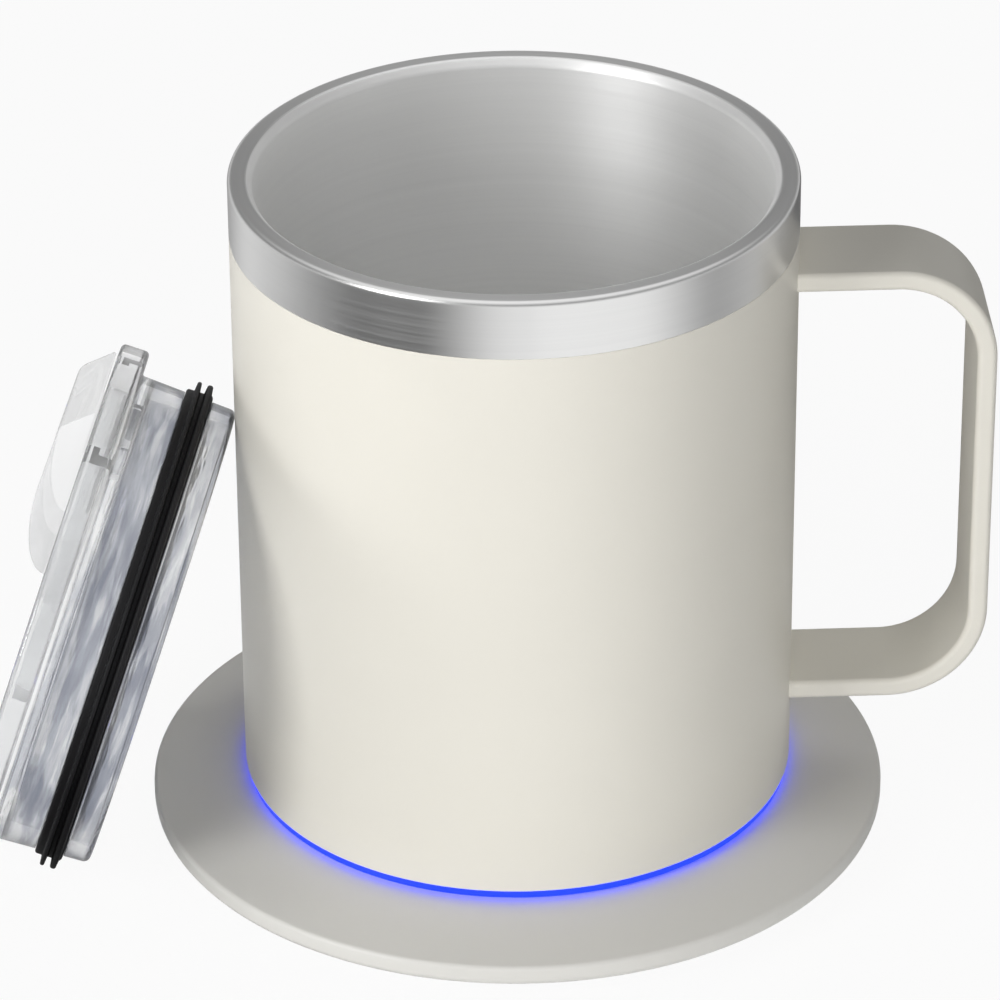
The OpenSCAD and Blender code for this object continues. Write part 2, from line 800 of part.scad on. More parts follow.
// Outline of the handle's loop, moved in from the strap's outer face
module handle_loop(inset) {
    r = handle_r - inset;
    x = handle_x - inset - r;
    low = handle_top - handle_h + inset + r;
    high = handle_top - inset - r;
    translate([0, low - r])
        square([x, high - low + 2 * r]);
    translate([0, low])
        square([x + r, high - low]);
    for (z = [low, high])
        translate([x, z])
            circle(r = r);
}

// Flat strap handle, its two ends on the outer shell
module handle() {
    color(coat_colour)
        difference() {
            rotate([90, 0, 0])
                linear_extrude(handle_w, center = true)
                    difference() {
                        handle_loop(0);
                        handle_loop(handle_t);
                    }
            cylinder(r = mug_r, h = lip_z);
        }
}

// Ring that glows under the outer shell's lower edge
module light_ring() {
    section = [
        [light_in, mug_z + light_clear], [light_r, mug_z + light_clear], [light_r, shell_z],
        [spigot_r, shell_z], [spigot_r, light_top], [light_in, light_top]];
    color(glow_colour)
        rotate_extrude() polygon(section);
}

// Base plate with the posts that carry the control board
module base_plate() {
    color(coat_colour)
        difference() {
            union() {
                post_at([0, 0], plate_z, plate_r, plate_top - plate_z);
                at_screws(screw_r)
                    post_at([0, 0], screw_seat, post_d / 2, board_z - screw_seat);
            }
            post_at([0, 0], 0, recess_r, recess_z);
            ring(foot_out, foot_in, 0, groove_top);
            translate([0, 0, seal_z])
                ring(light_in, seal_r - seal_w / 2, -seal_w / 2, seal_w);
            at_screws(screw_r) {
                post_at([0, 0], 0, screw_d / 2 + fit_gap, board_z + cut);
                post_at([0, 0], 0, screw_head_d / 2 + fit_gap, screw_seat);
            }
            post_at([0, button_off], 0, button_hole_r, plate_top + cut);
            post_at([0, 0], 0, disc_d / 2 + fit_gap, recess_z + contact_t);
            ring(ring_out + fit_gap, ring_in - fit_gap, 0, recess_z + contact_t);
            for (x = [-pin_x, 0, pin_x])
                post_at([x, 0], 0, wire_d / 2 + fit_gap, plate_top + cut);
        }
}

// Seal in the base plate's edge
module base_seal() {
    color(rubber_colour)
        translate([0, 0, seal_z])
            rotate_extrude()
                translate([seal_r, 0])
                    circle(d = seal_d);
}

// Soft ring that the mug stands on
module foot_ring() {
    color(rubber_colour)
        ring(foot_out - fit_gap, foot_in + fit_gap, mug_z, foot_h + foot_sink);
}

// Screws that hold the base plate, under the foot ring
module base_screws() {
    color(steel_colour)
        at_screws(screw_r)
            translate([0, 0, screw_seat])
                screw(screw_d, screw_head_d, screw_head_h, tray_z - screw_seat);
}

// Contact in the middle of the mug's underside, with its tail to the board
module contact_disc() {
    color(gold_colour) {
        post_at([0, 0], recess_z, disc_d / 2, contact_t);
        post_at([0, 0], recess_z, wire_d / 2, board_z - recess_z);
    }
}

// Contact ring round the disc, with its two tails to the board
module contact_ring() {
    color(gold_colour) {
        ring(ring_out, ring_in, recess_z, contact_t);
        for (x = [-pin_x, pin_x])
            post_at([x, 0], recess_z, wire_d / 2, board_z - recess_z);
    }
}

// Power button in the mug's underside
module power_button() {
    color(tray_colour)
        translate([0, button_off, 0])
            rotate_extrude()
                polygon([
                    [0, button_z], [button_r, button_z], [button_r, button_flange_z],
                    [button_flange_r, button_flange_z], [button_flange_r, button_flange_top],
                    [button_stem_r, button_flange_top], [button_stem_r, button_stem_top],
                    [0, button_stem_top]]);
}

// Spring between the button's flange and the control board
module button_spring() {
    color(steel_colour)
        translate([0, button_off, button_flange_top + thread_gap])
            coil(button_coil_r, board_z - button_flange_top - 2 * thread_gap);
}

// Press switch on the control board, over the button
module button_switch() {
    color(chip_colour) {
        box_at([0, button_off], switch_z, [switch_w, switch_w, switch_h]);
        post_at([0, button_off], plunger_z, plunger_r, plunger_h);
    }
}

// Control board of the mug
module control_board() {
    color(board_colour)
        difference() {
            post_at([0, 0], board_z, board_r, board_t);
            at_screws(screw_r)
                post_at([0, 0], 0, screw_d / 2 + fit_gap, board_top + cut);
        }
}

// Chips and coils on the control board
module board_parts() {
    color(chip_colour)
        for (chip = board_chips)
            box_at(chip[0], board_top, chip[1]);
}

// Diodes on the control board's edge, over the light ring
module ring_leds() {
    color("white")
        for (i = [0 : led_count - 1])
            rotate([0, 0, 360 * (i + 0.5) / led_count])
                box_at([led_r, 0], board_z - led_h, [led_size[0], led_size[1], led_h]);
}

// Tray that carries the battery pack and takes the base plate's screws
module battery_tray() {
    color(tray_colour)
        difference() {
            union() {
                post_at([0, 0], tray_z, spigot_r, tray_t);
                ring(spigot_r, spigot_r - tray_w, skirt_z, pad_z - skirt_z);
                at_screws(screw_r)
                    post_at([0, 0], board_top, post_d / 2, tray_z - board_top + tray_t / 2);
                difference() {
                    box_at([0, 0], tray_top, [pocket_l + 2 * rib_t, pocket_w + 2 * rib_t, cell_h / 2]);
                    box_at([0, 0], tray_top - cut, [pocket_l, pocket_w, cell_h]);
                }
            }
            at_screws(screw_r)
                post_at([0, 0], 0, screw_d / 2 + thread_gap, tray_z + tray_t / 2);
            for (p = concat(heater_leads, sensor_leads, cell_leads))
                post_at(p, 0, wire_d / 2 + fit_gap, pad_z);
            box_at([cell_tab_x, 0], tray_top, [2 * cell_tab[0], cell_tab[1] + 2 * slide_gap, cell_h]);
        }
}

// Battery pack with its tab
module battery_pack() {
    color(cell_colour) {
        box_at([0, 0], tray_top, [cell_l, cell_w, cell_h]);
        box_at([cell_tab_x, 0], cell_tab_z, cell_tab);
    }
}

// Felt pad that keeps the heat away from the battery pack
module insulation_pad() {
    color(pad_colour)
        difference() {
            post_at([0, 0], pad_z, pad_r, pad_t);
            for (p = heater_leads)
                post_at(p, 0, wire_d / 2 + fit_gap, heater_z + cut);
            post_at([0, -lead_y], 0, sensor_d / 2 + fit_gap, heater_z + cut);
        }
}

// Heater film on the underside of the cup
module heater_film() {
    color(film_colour)
        difference() {
            post_at([0, 0], heater_z, heater_r, heater_t);
            post_at([0, -lead_y], 0, sensor_d / 2 + fit_gap, cup_under + cut);
        }
}

// Sensor that touches the cup's floor through the heater film
module heat_sensor() {
    color(chip_colour)
        post_at([0, -lead_y], pad_z, sensor_d / 2, cup_under - pad_z);
}

// Wires from the control board to the heater, the sensor and the battery pack
module lead_wires() {
    color(film_colour) {
        for (p = heater_leads)
            post_at(p, board_top, wire_d / 2, heater_z - board_top);
        for (p = sensor_leads)
            post_at(p, board_top, wire_d / 2, pad_z - board_top);
        for (p = cell_leads)
            post_at(p, board_top, wire_d / 2, cell_tab_z - board_top);
    }
}

// Clear lid: flange, plug, deck with its drinking slot, and the slider's rails
module lid_body() {
    section = concat(
        [[0, deck_under], [lid_in, deck_under], [lid_in, -plug_h], [plug_end_r - plug_round, -plug_h]],
        [[plug_end_r, plug_round - plug_h], [plug_r, 0]],
        arc([flange_r - flange_round, flange_round], flange_round, -90, 0),
        arc([flange_r - flange_round, flange_t - flange_round], flange_round, 0, 90),
        [[lid_in, flange_t], [lid_in, deck_z], [0, deck_z]]);
    color(clear_colour)
        leaning()
            difference() {
                union() {
                    rotate_extrude() polygon(section);
                    intersection() {
                        lid_rails();
                        cylinder(r = lid_in + fit_gap, h = flange_t);
                    }
                }
                ring(flange_r, groove_r, gasket_low, gasket_h);
                translate([0, 0, deck_under - deck_t]) {
                    box_at([slot_x, 0], 0, [slot_h, slot_w - slot_h, 3 * deck_t]);
                    for (side = [-1, 1])
                        post_at([slot_x, side * (slot_w - slot_h) / 2], 0, slot_h / 2, 3 * deck_t);
                    post_at([-slot_x, 0], 0, vent_d / 2, 3 * deck_t);
                }
            }
}

// Two rails with lips over the slider's tongues, and the stop at their end
module lid_rails() {
    length = lid_in - rail_back;
    for (side = [0, 1])
        mirror([0, side, 0])
            translate([rail_back, 0, 0]) {
                translate([0, rail_y, deck_z - fit_gap])
                    cube([length, rail_w, rail_top - deck_z + fit_gap]);
                translate([0, rail_y - rail_lip, rail_low])
                    cube([length, rail_w + rail_lip, rail_t]);
            }
    translate([rail_back - rail_w, -rail_y - rail_w, deck_z - fit_gap])
        cube([rail_w, 2 * (rail_y + rail_w), rail_top - deck_z + fit_gap]);
}

// Black gasket with two fins that seal in the cup's mouth
module lid_gasket() {
    fins = [for (i = [1, 0]) each [
        [gasket_r, fin_z[i] - fin_t[i] / 2], [fin_r, fin_z[i] - fin_t[i] / 3],
        [fin_r, fin_z[i] + fin_t[i] / 3], [gasket_r, fin_z[i] + fin_t[i] / 2]]];
    section = concat(
        [[groove_r + fit_gap, gasket_low + fit_gap], [gasket_r, gasket_low + fit_gap]],
        fins,
        [[gasket_r, gasket_top - fit_gap], [groove_r + fit_gap, gasket_top - fit_gap]]);
    color(rubber_colour)
        leaning()
            rotate_extrude() polygon(section);
}

// Outline of the thumb block, seen from the side: rounded back, flat top, sloping front
function thumb_outline() =
    let (
        rise = thumb_top - thumb_z,
        front = [toe_x - rise + thumb_round * (1 - sqrt(2)), thumb_top - thumb_round])
    concat(
        [for (t = [0 : 10 : 90])
            [slider_back + thumb_start + thumb_back * (1 - cos(t)), thumb_z + rise * sin(t)]],
        arc(front, thumb_round, 90, 45),
        [[toe_x, thumb_z]]);

// Slider that covers the drinking slot, with its thumb block
module lid_slider() {
    color(clear_colour)
        leaning()
            difference() {
                union() {
                    intersection() {
                        union() {
                            box_at(slider_mid, slider_z, [slider_l, slider_w, slider_t]);
                            box_at(slider_mid, slider_z, [slider_l, neck_w, thumb_z - slider_z]);
                        }
                        cylinder(r = slider_front, h = thumb_top);
                    }
                    rotate([90, 0, 0])
                        linear_extrude(neck_w, center = true)
                            polygon(thumb_outline());
                }
                slider_pocket(fit_gap);
            }
}

// Room of the seal pad in the slider's underside, with a clearance round it
module slider_pocket(gap) {
    intersection() {
        translate([lid_seal_back - gap, -lid_seal_w / 2 - gap, lid_seal_z - gap])
            cube([slider_front - lid_seal_back, lid_seal_w + 2 * gap, seal_pad_t + 3 * gap / 2]);
        cylinder(r = lid_seal_r + gap, h = flange_t);
    }
}

// Soft pad under the slider that closes the drinking slot
module slider_seal() {
    color(clear_colour)
        leaning()
            slider_pocket(0);
}

coaster_shell();
coaster_cover();
coaster_mat();
coaster_screws();
dock_board();
dock_parts();
inlet_shell();
inlet_tongue();
pin_housing();
contact_pin_centre();
contact_pin_side();
pin_spring_centre();
pin_spring_side();
outer_shell();
rim_band();
inner_cup();
handle();
light_ring();
base_plate();
base_seal();
foot_ring();
base_screws();
contact_disc();
contact_ring();
power_button();
button_spring();
button_switch();
control_board();
board_parts();
ring_leds();
battery_tray();
battery_pack();
insulation_pad();
heater_film();
heat_sensor();
lead_wires();
lid_body();
lid_gasket();
lid_slider();
slider_seal();
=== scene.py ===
import json
import math

import bmesh
import bpy
from bpy.props import FloatProperty, FloatVectorProperty, PointerProperty
from mathutils import Matrix, Vector


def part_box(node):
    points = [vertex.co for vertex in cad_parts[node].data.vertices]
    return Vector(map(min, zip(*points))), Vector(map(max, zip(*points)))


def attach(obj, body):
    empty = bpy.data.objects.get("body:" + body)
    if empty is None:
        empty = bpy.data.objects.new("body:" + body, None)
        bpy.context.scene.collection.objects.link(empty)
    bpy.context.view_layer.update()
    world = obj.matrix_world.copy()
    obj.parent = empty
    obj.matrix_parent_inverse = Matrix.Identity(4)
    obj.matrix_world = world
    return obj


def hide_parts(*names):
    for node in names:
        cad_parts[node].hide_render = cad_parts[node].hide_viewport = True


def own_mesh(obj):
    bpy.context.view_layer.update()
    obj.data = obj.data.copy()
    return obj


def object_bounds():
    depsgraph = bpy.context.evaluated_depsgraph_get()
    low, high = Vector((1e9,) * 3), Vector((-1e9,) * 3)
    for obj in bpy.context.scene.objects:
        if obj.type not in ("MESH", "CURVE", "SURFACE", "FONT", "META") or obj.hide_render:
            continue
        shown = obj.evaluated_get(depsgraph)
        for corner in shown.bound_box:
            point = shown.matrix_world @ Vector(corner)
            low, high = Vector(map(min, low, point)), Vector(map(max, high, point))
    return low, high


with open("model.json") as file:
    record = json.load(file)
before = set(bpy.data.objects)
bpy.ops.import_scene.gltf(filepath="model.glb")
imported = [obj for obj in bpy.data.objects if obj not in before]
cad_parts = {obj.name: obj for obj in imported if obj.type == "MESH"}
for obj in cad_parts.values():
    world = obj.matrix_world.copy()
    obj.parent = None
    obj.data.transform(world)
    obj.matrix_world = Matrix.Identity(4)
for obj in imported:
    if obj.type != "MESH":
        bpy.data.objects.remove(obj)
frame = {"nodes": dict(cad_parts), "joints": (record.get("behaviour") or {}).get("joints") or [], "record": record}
cad_box = [list(corner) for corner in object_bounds()]

bl_info = {
    "name": "Self-heating mug",
    "version": (1, 0, 0),
    "blender": (4, 5, 0),
    "location": "View3D > Sidebar > Heated mug",
    "description": "Dresses the pieces of a self-heating mug, its charging coaster and its clear lid",
    "category": "Add Mesh",
}

MM = 0.001
SPIN_STEPS = 192
SMALL_STEPS = 96
BEND_STEPS = 24
ARC_STEPS = 12
ROUND_STEPS = 6
WIRE_SIDES = 10
SPRING_TURNS = 3
SHARP_ANGLE = math.radians(35)

# A round end takes nearly half its side, and points closer than these lengths are one point.
NEARLY = 0.999
SAME_POINT = 1e-7
WELD = 1e-6

# Small edges, and how far a cutting tool reaches past a piece.
EDGE = 0.4 * MM
FINE_EDGE = 0.2 * MM
PAST = 1 * MM

# Underside of the mug.
FOOT_GROOVE = 5.4 * MM
RING_GROOVE = 3.2 * MM
PLATE_HEIGHT = 1.3 * MM
BUTTON_STEP = 1.05 * MM
BUTTON_STEM = 1.56 * MM
BUTTON_STEM_HEIGHT = 0.25 * MM
BUTTON_RIM = 1.2 * MM
BUTTON_BEND = 2 * MM

# Coaster and its contact pins.
BOSS_BEND = 0.25 * MM
TOP_BEND = 30 * MM
RIM_RISE = 0.05 * MM
PLINTH_BEND = 0.8 * MM
INLET_DEPTH = 2 * MM
COVER_DROP = 4.4 * MM
COVER_EDGE = 0.3 * MM
MAT_GAP = 0.1 * MM
MAT_EDGE = 0.5 * MM
PIN_FOOT = 0.8 * MM
PIN_FOOT_HEIGHT = 1 * MM
PIN_COLLAR = 0.8 * MM
PIN_STEP = 0.7 * MM
PIN_ROUND = 1.2 * MM

# Lid, gasket and slider. Each fin has its depth under the groove's top, and its thickness.
DECK_BEND = 0.8 * MM
GROOVE_EDGE = 0.15 * MM
GASKET_GAP = 0.1 * MM
FINS = ((3.4 * MM, 1.2 * MM), (1.7 * MM, 0.9 * MM))
SINK = 0.3 * MM
SLIDER_EDGE = 0.2 * MM
TOE_GAP = 0.3 * MM
TOE_ROUND = 0.25 * MM
HEEL_INSET = 0.4 * MM
HEEL_DROP = 0.1 * MM


def low(node):
    """Lowest corner of a piece's solid."""
    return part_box(node)[0]


def high(node):
    """Highest corner of a piece's solid."""
    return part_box(node)[1]


def centre_of(node):
    """Middle of a piece's solid."""
    return (low(node) + high(node)) / 2


def length(name, description, default):
    """A length that a user may change."""
    return FloatProperty(name=name, description=description, default=default, min=0.0, unit="LENGTH",
                         precision=5)


def colour(name, description, default):
    """A colour that a user may change."""
    return FloatVectorProperty(name=name, description=description, default=default, min=0.0, max=1.0,
                               subtype="COLOR")


class MugSizes(bpy.types.PropertyGroup):
    """Sizes of the mug."""

    radius: length("Radius", "Outside radius of the mug", high("outer_shell").x)
    wall: length("Shell wall", "Wall of the outer shell", 0.8 * MM)
    edge: length("Shell edge", "Rounding of the outer shell's edges", 0.3 * MM)
    lip_width: length("Lip width", "Width of the lip, seen from above", 2.8 * MM)
    lip_thickness: length("Lip thickness", "Thickness of the lip", 1.2 * MM)
    lip_round: length("Lip rounding", "Rounding of the lip's edges", 0.8 * MM)
    lead_bend: length("Lead-in bend", "Radius of the lead-in between lip and cup", 1.2 * MM)
    spigot: length("Spigot", "Length of the band's spigot inside the shell", 3 * MM)
    spigot_wall: length("Spigot wall", "Wall of the band's spigot", 0.7 * MM)
    cup_wall: length("Cup wall", "Wall of the inner cup", 0.8 * MM)
    cup_taper: length("Cup taper", "How much narrower the cup is at its floor", 0.7 * MM)
    cup_bend: length("Cup bend", "Radius between the cup's wall and floor", 9 * MM)
    fit: length("Fit", "Clearance between pieces that stay fitted", 0.1 * MM)
    strap: length("Strap", "Thickness of the handle's strap", 3 * MM)
    strap_bend: length("Strap bend", "Outside radius of the handle's bends", 15 * MM)
    strap_edge: length("Strap edge", "Rounding of the strap's long edges", 0.9 * MM)
    light_width: length("Light ring", "Radial thickness of the light ring's spigot", 2.2 * MM)
    light_round: length("Light rounding", "Rounding of the light ring's lower edge", 0.5 * MM)
    recess: length("Recess", "Radius of the recess under the base plate", 30.8 * MM)
    recess_depth: length("Recess depth", "Depth of the recess under the base plate", 0.8 * MM)
    contact: length("Contacts", "Thickness of the contacts in the recess", 0.7 * MM)
    button_hole: length("Button hole", "Radius of the power button's hole", 5 * MM)
    button_dish: length("Button dish", "Depth of the dish in the power button's face", 0.3 * MM)
    spring_wire: length("Spring wire", "Wire of the springs under the button and the pins", 0.3 * MM)


class CoasterSizes(bpy.types.PropertyGroup):
    """Sizes of the charging coaster."""

    radius: length("Radius", "Outside radius of the coaster", high("coaster_shell").x)
    top: length("Top", "Height of the coaster's flat top", low("foot_ring").z)
    flat: length("Flat", "Radius of the coaster's flat top", 43.2 * MM)
    drop: length("Drop", "How far the top slopes down to the rim", 2.5 * MM)
    rim: length("Rim", "Thickness of the rim", 3.3 * MM)
    rim_round: length("Rim rounding", "Rounding of the rim's upper edge", 0.8 * MM)
    rim_under: length("Rim underside", "Rounding of the rim's lower edge", 1.4 * MM)
    plinth: length("Plinth", "Radius of the plinth", 48 * MM)
    plinth_wall: length("Plinth wall", "Wall of the plinth", 1.6 * MM)
    skin: length("Skin", "Thickness of the coaster's top", 1.6 * MM)
    boss: length("Boss", "Radius of the boss that locates the mug", 29.8 * MM)
    pin_hole: length("Pin hole", "Radius of a contact pin's hole", 1.7 * MM)
    block: length("Inlet block", "Width of the block round the inlet", 15 * MM)
    inlet_gap: length("Inlet gap", "Gap round the inlet's shell", 0.2 * MM)


class LidSizes(bpy.types.PropertyGroup):
    """Sizes of the lid, in its own frame: the flange's lower face is at height 0."""

    flange: length("Flange", "Radius of the flange", 40.3 * MM)
    flange_height: length("Flange height", "Thickness of the flange", 4.4 * MM)
    flange_round: length("Flange rounding", "Rounding of the flange's edges", 0.7 * MM)
    plug: length("Plug", "Radius of the plug under the flange", 36.6 * MM)
    plug_end: length("Plug end", "Radius of the plug at its end", 35.9 * MM)
    plug_depth: length("Plug depth", "Depth of the plug", 15.2 * MM)
    plug_round: length("Plug rounding", "Rounding of the plug's lower edge", 1 * MM)
    inside: length("Inside", "Inside radius of the plug", 33.6 * MM)
    deck: length("Deck", "Height of the deck's upper face", 0.8 * MM)
    deck_wall: length("Deck thickness", "Thickness of the deck", 2.2 * MM)
    groove: length("Groove", "Radius of the gasket's groove", 34.6 * MM)
    gasket: length("Gasket", "Radius of the gasket's band", 36.9 * MM)
    gasket_top: length("Gasket drop", "Depth of the gasket's upper edge under the flange", 6.9 * MM)
    gasket_height: length("Gasket height", "Height of the gasket", 4.4 * MM)
    fin: length("Fin", "Radius of the gasket's fins", 38.4 * MM)
    slot_width: length("Slot width", "Width of the drinking slot", 15 * MM)
    slot_height: length("Slot height", "Height of the drinking slot", 6 * MM)
    slot_place: length("Slot place", "Distance of the drinking slot from the middle", 26.6 * MM)
    vent: length("Vent", "Radius of the air vent", 0.9 * MM)
    slider_width: length("Slider width", "Width of the slider over its tongues", 22 * MM)
    slider_back: length("Slider back", "Distance of the slider's back from the middle", 5.4 * MM)
    slider_front: length("Slider front", "Radius of the slider's front", 33.4 * MM)
    slider_wall: length("Slider thickness", "Thickness of the slider's tongues", 1.2 * MM)
    thumb_width: length("Thumb width", "Width of the thumb block", 19.2 * MM)
    thumb_top: length("Thumb top", "Height of the thumb block's top", 9.5 * MM)
    thumb_start: length("Thumb start", "Distance of the thumb's back from the slider's back", 4.5 * MM)
    thumb_back: length("Thumb back", "Length of the thumb block's rounded back", 13.5 * MM)
    thumb_round: length("Thumb rounding", "Rounding of the thumb block's front edge", 3 * MM)
    thumb_edge: length("Thumb edge", "Rounding of the thumb block's sides", 0.9 * MM)
    toe: length("Toe", "Distance of the thumb block's toe from the middle", 39.5 * MM)
    rail: length("Rail", "Width of a rail beside the slider", 1.6 * MM)
    rail_lip: length("Rail lip", "How far a rail's lip reaches over the slider", 1.2 * MM)
    rail_top: length("Rail top", "Height of the rails", 3.4 * MM)
    rail_back: length("Rail back", "Distance of the rails' back end behind the middle", 8.8 * MM)
    gap: length("Gap", "Clearance round the slider", 0.2 * MM)


class MugColours(bpy.types.PropertyGroup):
    """Colours of the finishes."""

    coat: colour("Coat", "Satin coat of the mug", (0.80, 0.775, 0.70))
    coaster: colour("Coaster", "Moulded plastic of the coaster", (0.74, 0.73, 0.695))
    steel: colour("Steel", "Turned and brushed steel", (0.76, 0.76, 0.755))
    clear: colour("Clear plastic", "Polished clear plastic of the lid", (0.98, 0.985, 0.99))
    # The grey of the lid's plug is painted reflection: it stands in for the darker surroundings that the clear
    # plastic reflects and refracts.
    painted_reflection: colour("Haze", "Faint grey haze in the lid's plug", (0.49, 0.51, 0.57))
    silicone: colour("Silicone", "Black silicone of gasket and feet", (0.005, 0.005, 0.0055))
    glow: colour("Glow", "Light of the ring under the mug", (0.005, 0.026, 0.95))
    board: colour("Board", "Solder mask of the boards", (0.010, 0.09, 0.035))
    gold: colour("Gold", "Gold plating of the contacts", (0.82, 0.56, 0.20))


class StageSettings(bpy.types.PropertyGroup):
    """Camera, floor and background."""

    lens: FloatProperty(name="Lens", description="Focal length in millimetres", default=205.2, min=10.0)
    roll: FloatProperty(name="Roll", description="Roll of the camera", default=math.radians(-0.43),
                        subtype="ANGLE")
    camera: FloatVectorProperty(name="Camera", description="Place of the camera", unit="LENGTH",
                                subtype="TRANSLATION", default=(-32.72 * MM, -748.69 * MM, 477.46 * MM))
    target: FloatVectorProperty(name="Target", description="Point that the camera looks at", unit="LENGTH",
                                subtype="TRANSLATION", default=(-2.39 * MM, 0.10 * MM, 53.64 * MM))
    ambient: FloatProperty(name="Ambient", description="Strength of the light from all round",
                           default=0.08, min=0.0)
    floor_white: FloatProperty(name="Floor white", description="Share of the floor that shows plain white",
                               default=0.93, min=0.0, max=1.0)
    mirrored: FloatProperty(name="Mirrored", description="Strength of what polished surfaces mirror",
                            default=1.15, min=0.0)


def rounded(corners):
    """Points of a closed outline whose corners are (across, up, rounding)."""
    points = []
    for before, corner, after in zip(corners[-1:] + corners[:-1], corners, corners[1:] + corners[:1]):
        here = Vector(corner[:2])
        if not corner[2]:
            points.append(here)
            continue
        back = (Vector(before[:2]) - here).normalized()
        on = (Vector(after[:2]) - here).normalized()
        half = back.angle(on) / 2
        centre = here + (back + on).normalized() * corner[2] / math.sin(half)
        reach = corner[2] / math.tan(half)
        start = (here + back * reach - centre).normalized()
        end = (here + on * reach - centre).normalized()
        for step in range(ROUND_STEPS + 1):
            points.append(centre + start.slerp(end, step / ROUND_STEPS) * corner[2])
    return points


def boxed(lowest, highest, bend=None):
    """Points of a rectangle with rounded corners, or with round ends if no rounding is given."""
    (left, bottom), (right, top) = lowest, highest
    if bend is None:
        bend = NEARLY * min(right - left, top - bottom) / 2
    return rounded([(left, bottom, bend), (right, bottom, bend), (right, top, bend), (left, top, bend)])


def loop_of(bm, points):
    """A closed loop of edges through points."""
    verts = [bm.verts.new(point) for point in points]
    return [bm.edges.new(pair) for pair in zip(verts, verts[1:] + verts[:1])]


def carried(bm, edges, way):
    """Draws a loop of edges along a way, and returns the loop at its end."""
    drawn = bmesh.ops.extrude_edge_only(bm, edges=edges)["geom"]
    verts = {item for item in drawn if isinstance(item, bmesh.types.BMVert)}
    bmesh.ops.translate(bm, vec=way, verts=list(verts))
    return [item for item in drawn if isinstance(item, bmesh.types.BMEdge) and verts.issuperset(item.verts)]


def swung(bm, edges, centre, axis, angle, steps):
    """Draws a loop of edges round an axis, and returns the loop at its end."""
    verts = list({vert for edge in edges for vert in edge.verts})
    drawn = bmesh.ops.spin(bm, geom=verts + edges, cent=centre, axis=axis, angle=angle, steps=steps)
    return [item for item in drawn["geom_last"] if isinstance(item, bmesh.types.BMEdge)]


def turned(outline, steps=SPIN_STEPS, centre=(0.0, 0.0)):
    """A solid turned about an upright axis from an outline of (radius, height) points."""
    bm = bmesh.new()
    edges = loop_of(bm, [(point[0], 0.0, point[1]) for point in outline])
    on_axis = [edge for edge in edges if max(abs(vert.co.x) for vert in edge.verts) < SAME_POINT]
    bmesh.ops.delete(bm, geom=on_axis, context="EDGES")
    bmesh.ops.spin(bm, geom=bm.verts[:] + bm.edges[:], cent=(0, 0, 0), axis=(0, 0, 1), angle=2 * math.pi,
                   steps=steps, use_merge=True)
    bmesh.ops.remove_doubles(bm, verts=bm.verts, dist=WELD)
    bmesh.ops.translate(bm, vec=(centre[0], centre[1], 0.0), verts=bm.verts)
    return bm


def prism(points, way):
    """A closed bar drawn along a way from an outline of points."""
    bm = bmesh.new()
    carried(bm, loop_of(bm, points), way)
    bmesh.ops.holes_fill(bm, edges=bm.edges[:], sides=0)
    bmesh.ops.recalc_face_normals(bm, faces=bm.faces[:])
    return bm


def post(x, y, radius, bottom, top):
    """An upright cylinder."""
    bm = bmesh.new()
    place = Matrix.Translation((x, y, (bottom + top) / 2))
    bmesh.ops.create_cone(bm, cap_ends=True, segments=SMALL_STEPS, radius1=radius, radius2=radius,
                          depth=top - bottom, matrix=place)
    return bm


def block(lowest, highest, edge=0.0):
    """A box between two corners, its edges rounded."""
    bm = bmesh.new()
    size = Vector(highest) - Vector(lowest)
    middle = (Vector(highest) + Vector(lowest)) / 2
    bmesh.ops.create_cube(bm, size=1.0, matrix=Matrix.Translation(middle) @ Matrix.Diagonal((*size, 1.0)))
    if edge:
        soften(bm, edge)
    return bm


def soften(bm, width, segments=4):
    """Rounds every sharp edge."""
    edges = [edge for edge in bm.edges if edge.calc_face_angle(0.0) > SHARP_ANGLE]
    bmesh.ops.bevel(bm, geom=edges, offset=width, offset_type="OFFSET", segments=segments, profile=0.5,
                    affect="EDGES", clamp_overlap=True, material=-1)


def made(name, bm):
    """A named object of a mesh, at the origin, with its faces outwards."""
    bmesh.ops.recalc_face_normals(bm, faces=bm.faces[:])
    mesh = bpy.data.meshes.new(name)
    bm.to_mesh(mesh)
    bm.free()
    piece = bpy.data.objects.new(name, mesh)
    bpy.context.scene.collection.objects.link(piece)
    return piece


def combined(piece, operation, *tools):
    """Unites a piece with other solids, or cuts them out of it."""
    for bm in tools:
        tool = made(piece.name + "_tool", bm)
        change = piece.modifiers.new(operation, "BOOLEAN")
        change.operation = operation
        change.solver = "EXACT"
        change.object = tool
        evaluated = piece.evaluated_get(bpy.context.evaluated_depsgraph_get())
        mesh = bpy.data.meshes.new_from_object(evaluated)
        piece.modifiers.clear()
        piece.data = mesh
        bpy.data.objects.remove(tool)
    bm = bmesh.new()
    bm.from_mesh(piece.data)
    bmesh.ops.dissolve_degenerate(bm, edges=bm.edges[:], dist=WELD)
    bm.to_mesh(piece.data)
    bm.free()
    piece.data.name = piece.name


def dressed(piece, body, slot, *nodes, place=None, look=None):
    """Smooths a piece, gives it its slot's finish or another look, and puts it on its body."""
    if place is not None:
        piece.data.transform(place)
    piece.data.shade_smooth()
    piece.data.set_sharp_from_angle(angle=SHARP_ANGLE)
    normals = piece.modifiers.new("even_normals", "WEIGHTED_NORMAL")
    normals.keep_sharp = True
    piece.data.materials.clear()
    piece.data.materials.append(finish(look or slot))
    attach(piece, body)
    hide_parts(*nodes)


def lathed(name, corners, body, slot, node, steps=SPIN_STEPS, centre=(0.0, 0.0), **more):
    """Turns a piece from the corners of its outline, and dresses it."""
    dressed(made(name, turned(rounded(corners), steps, centre)), body, slot, node, **more)


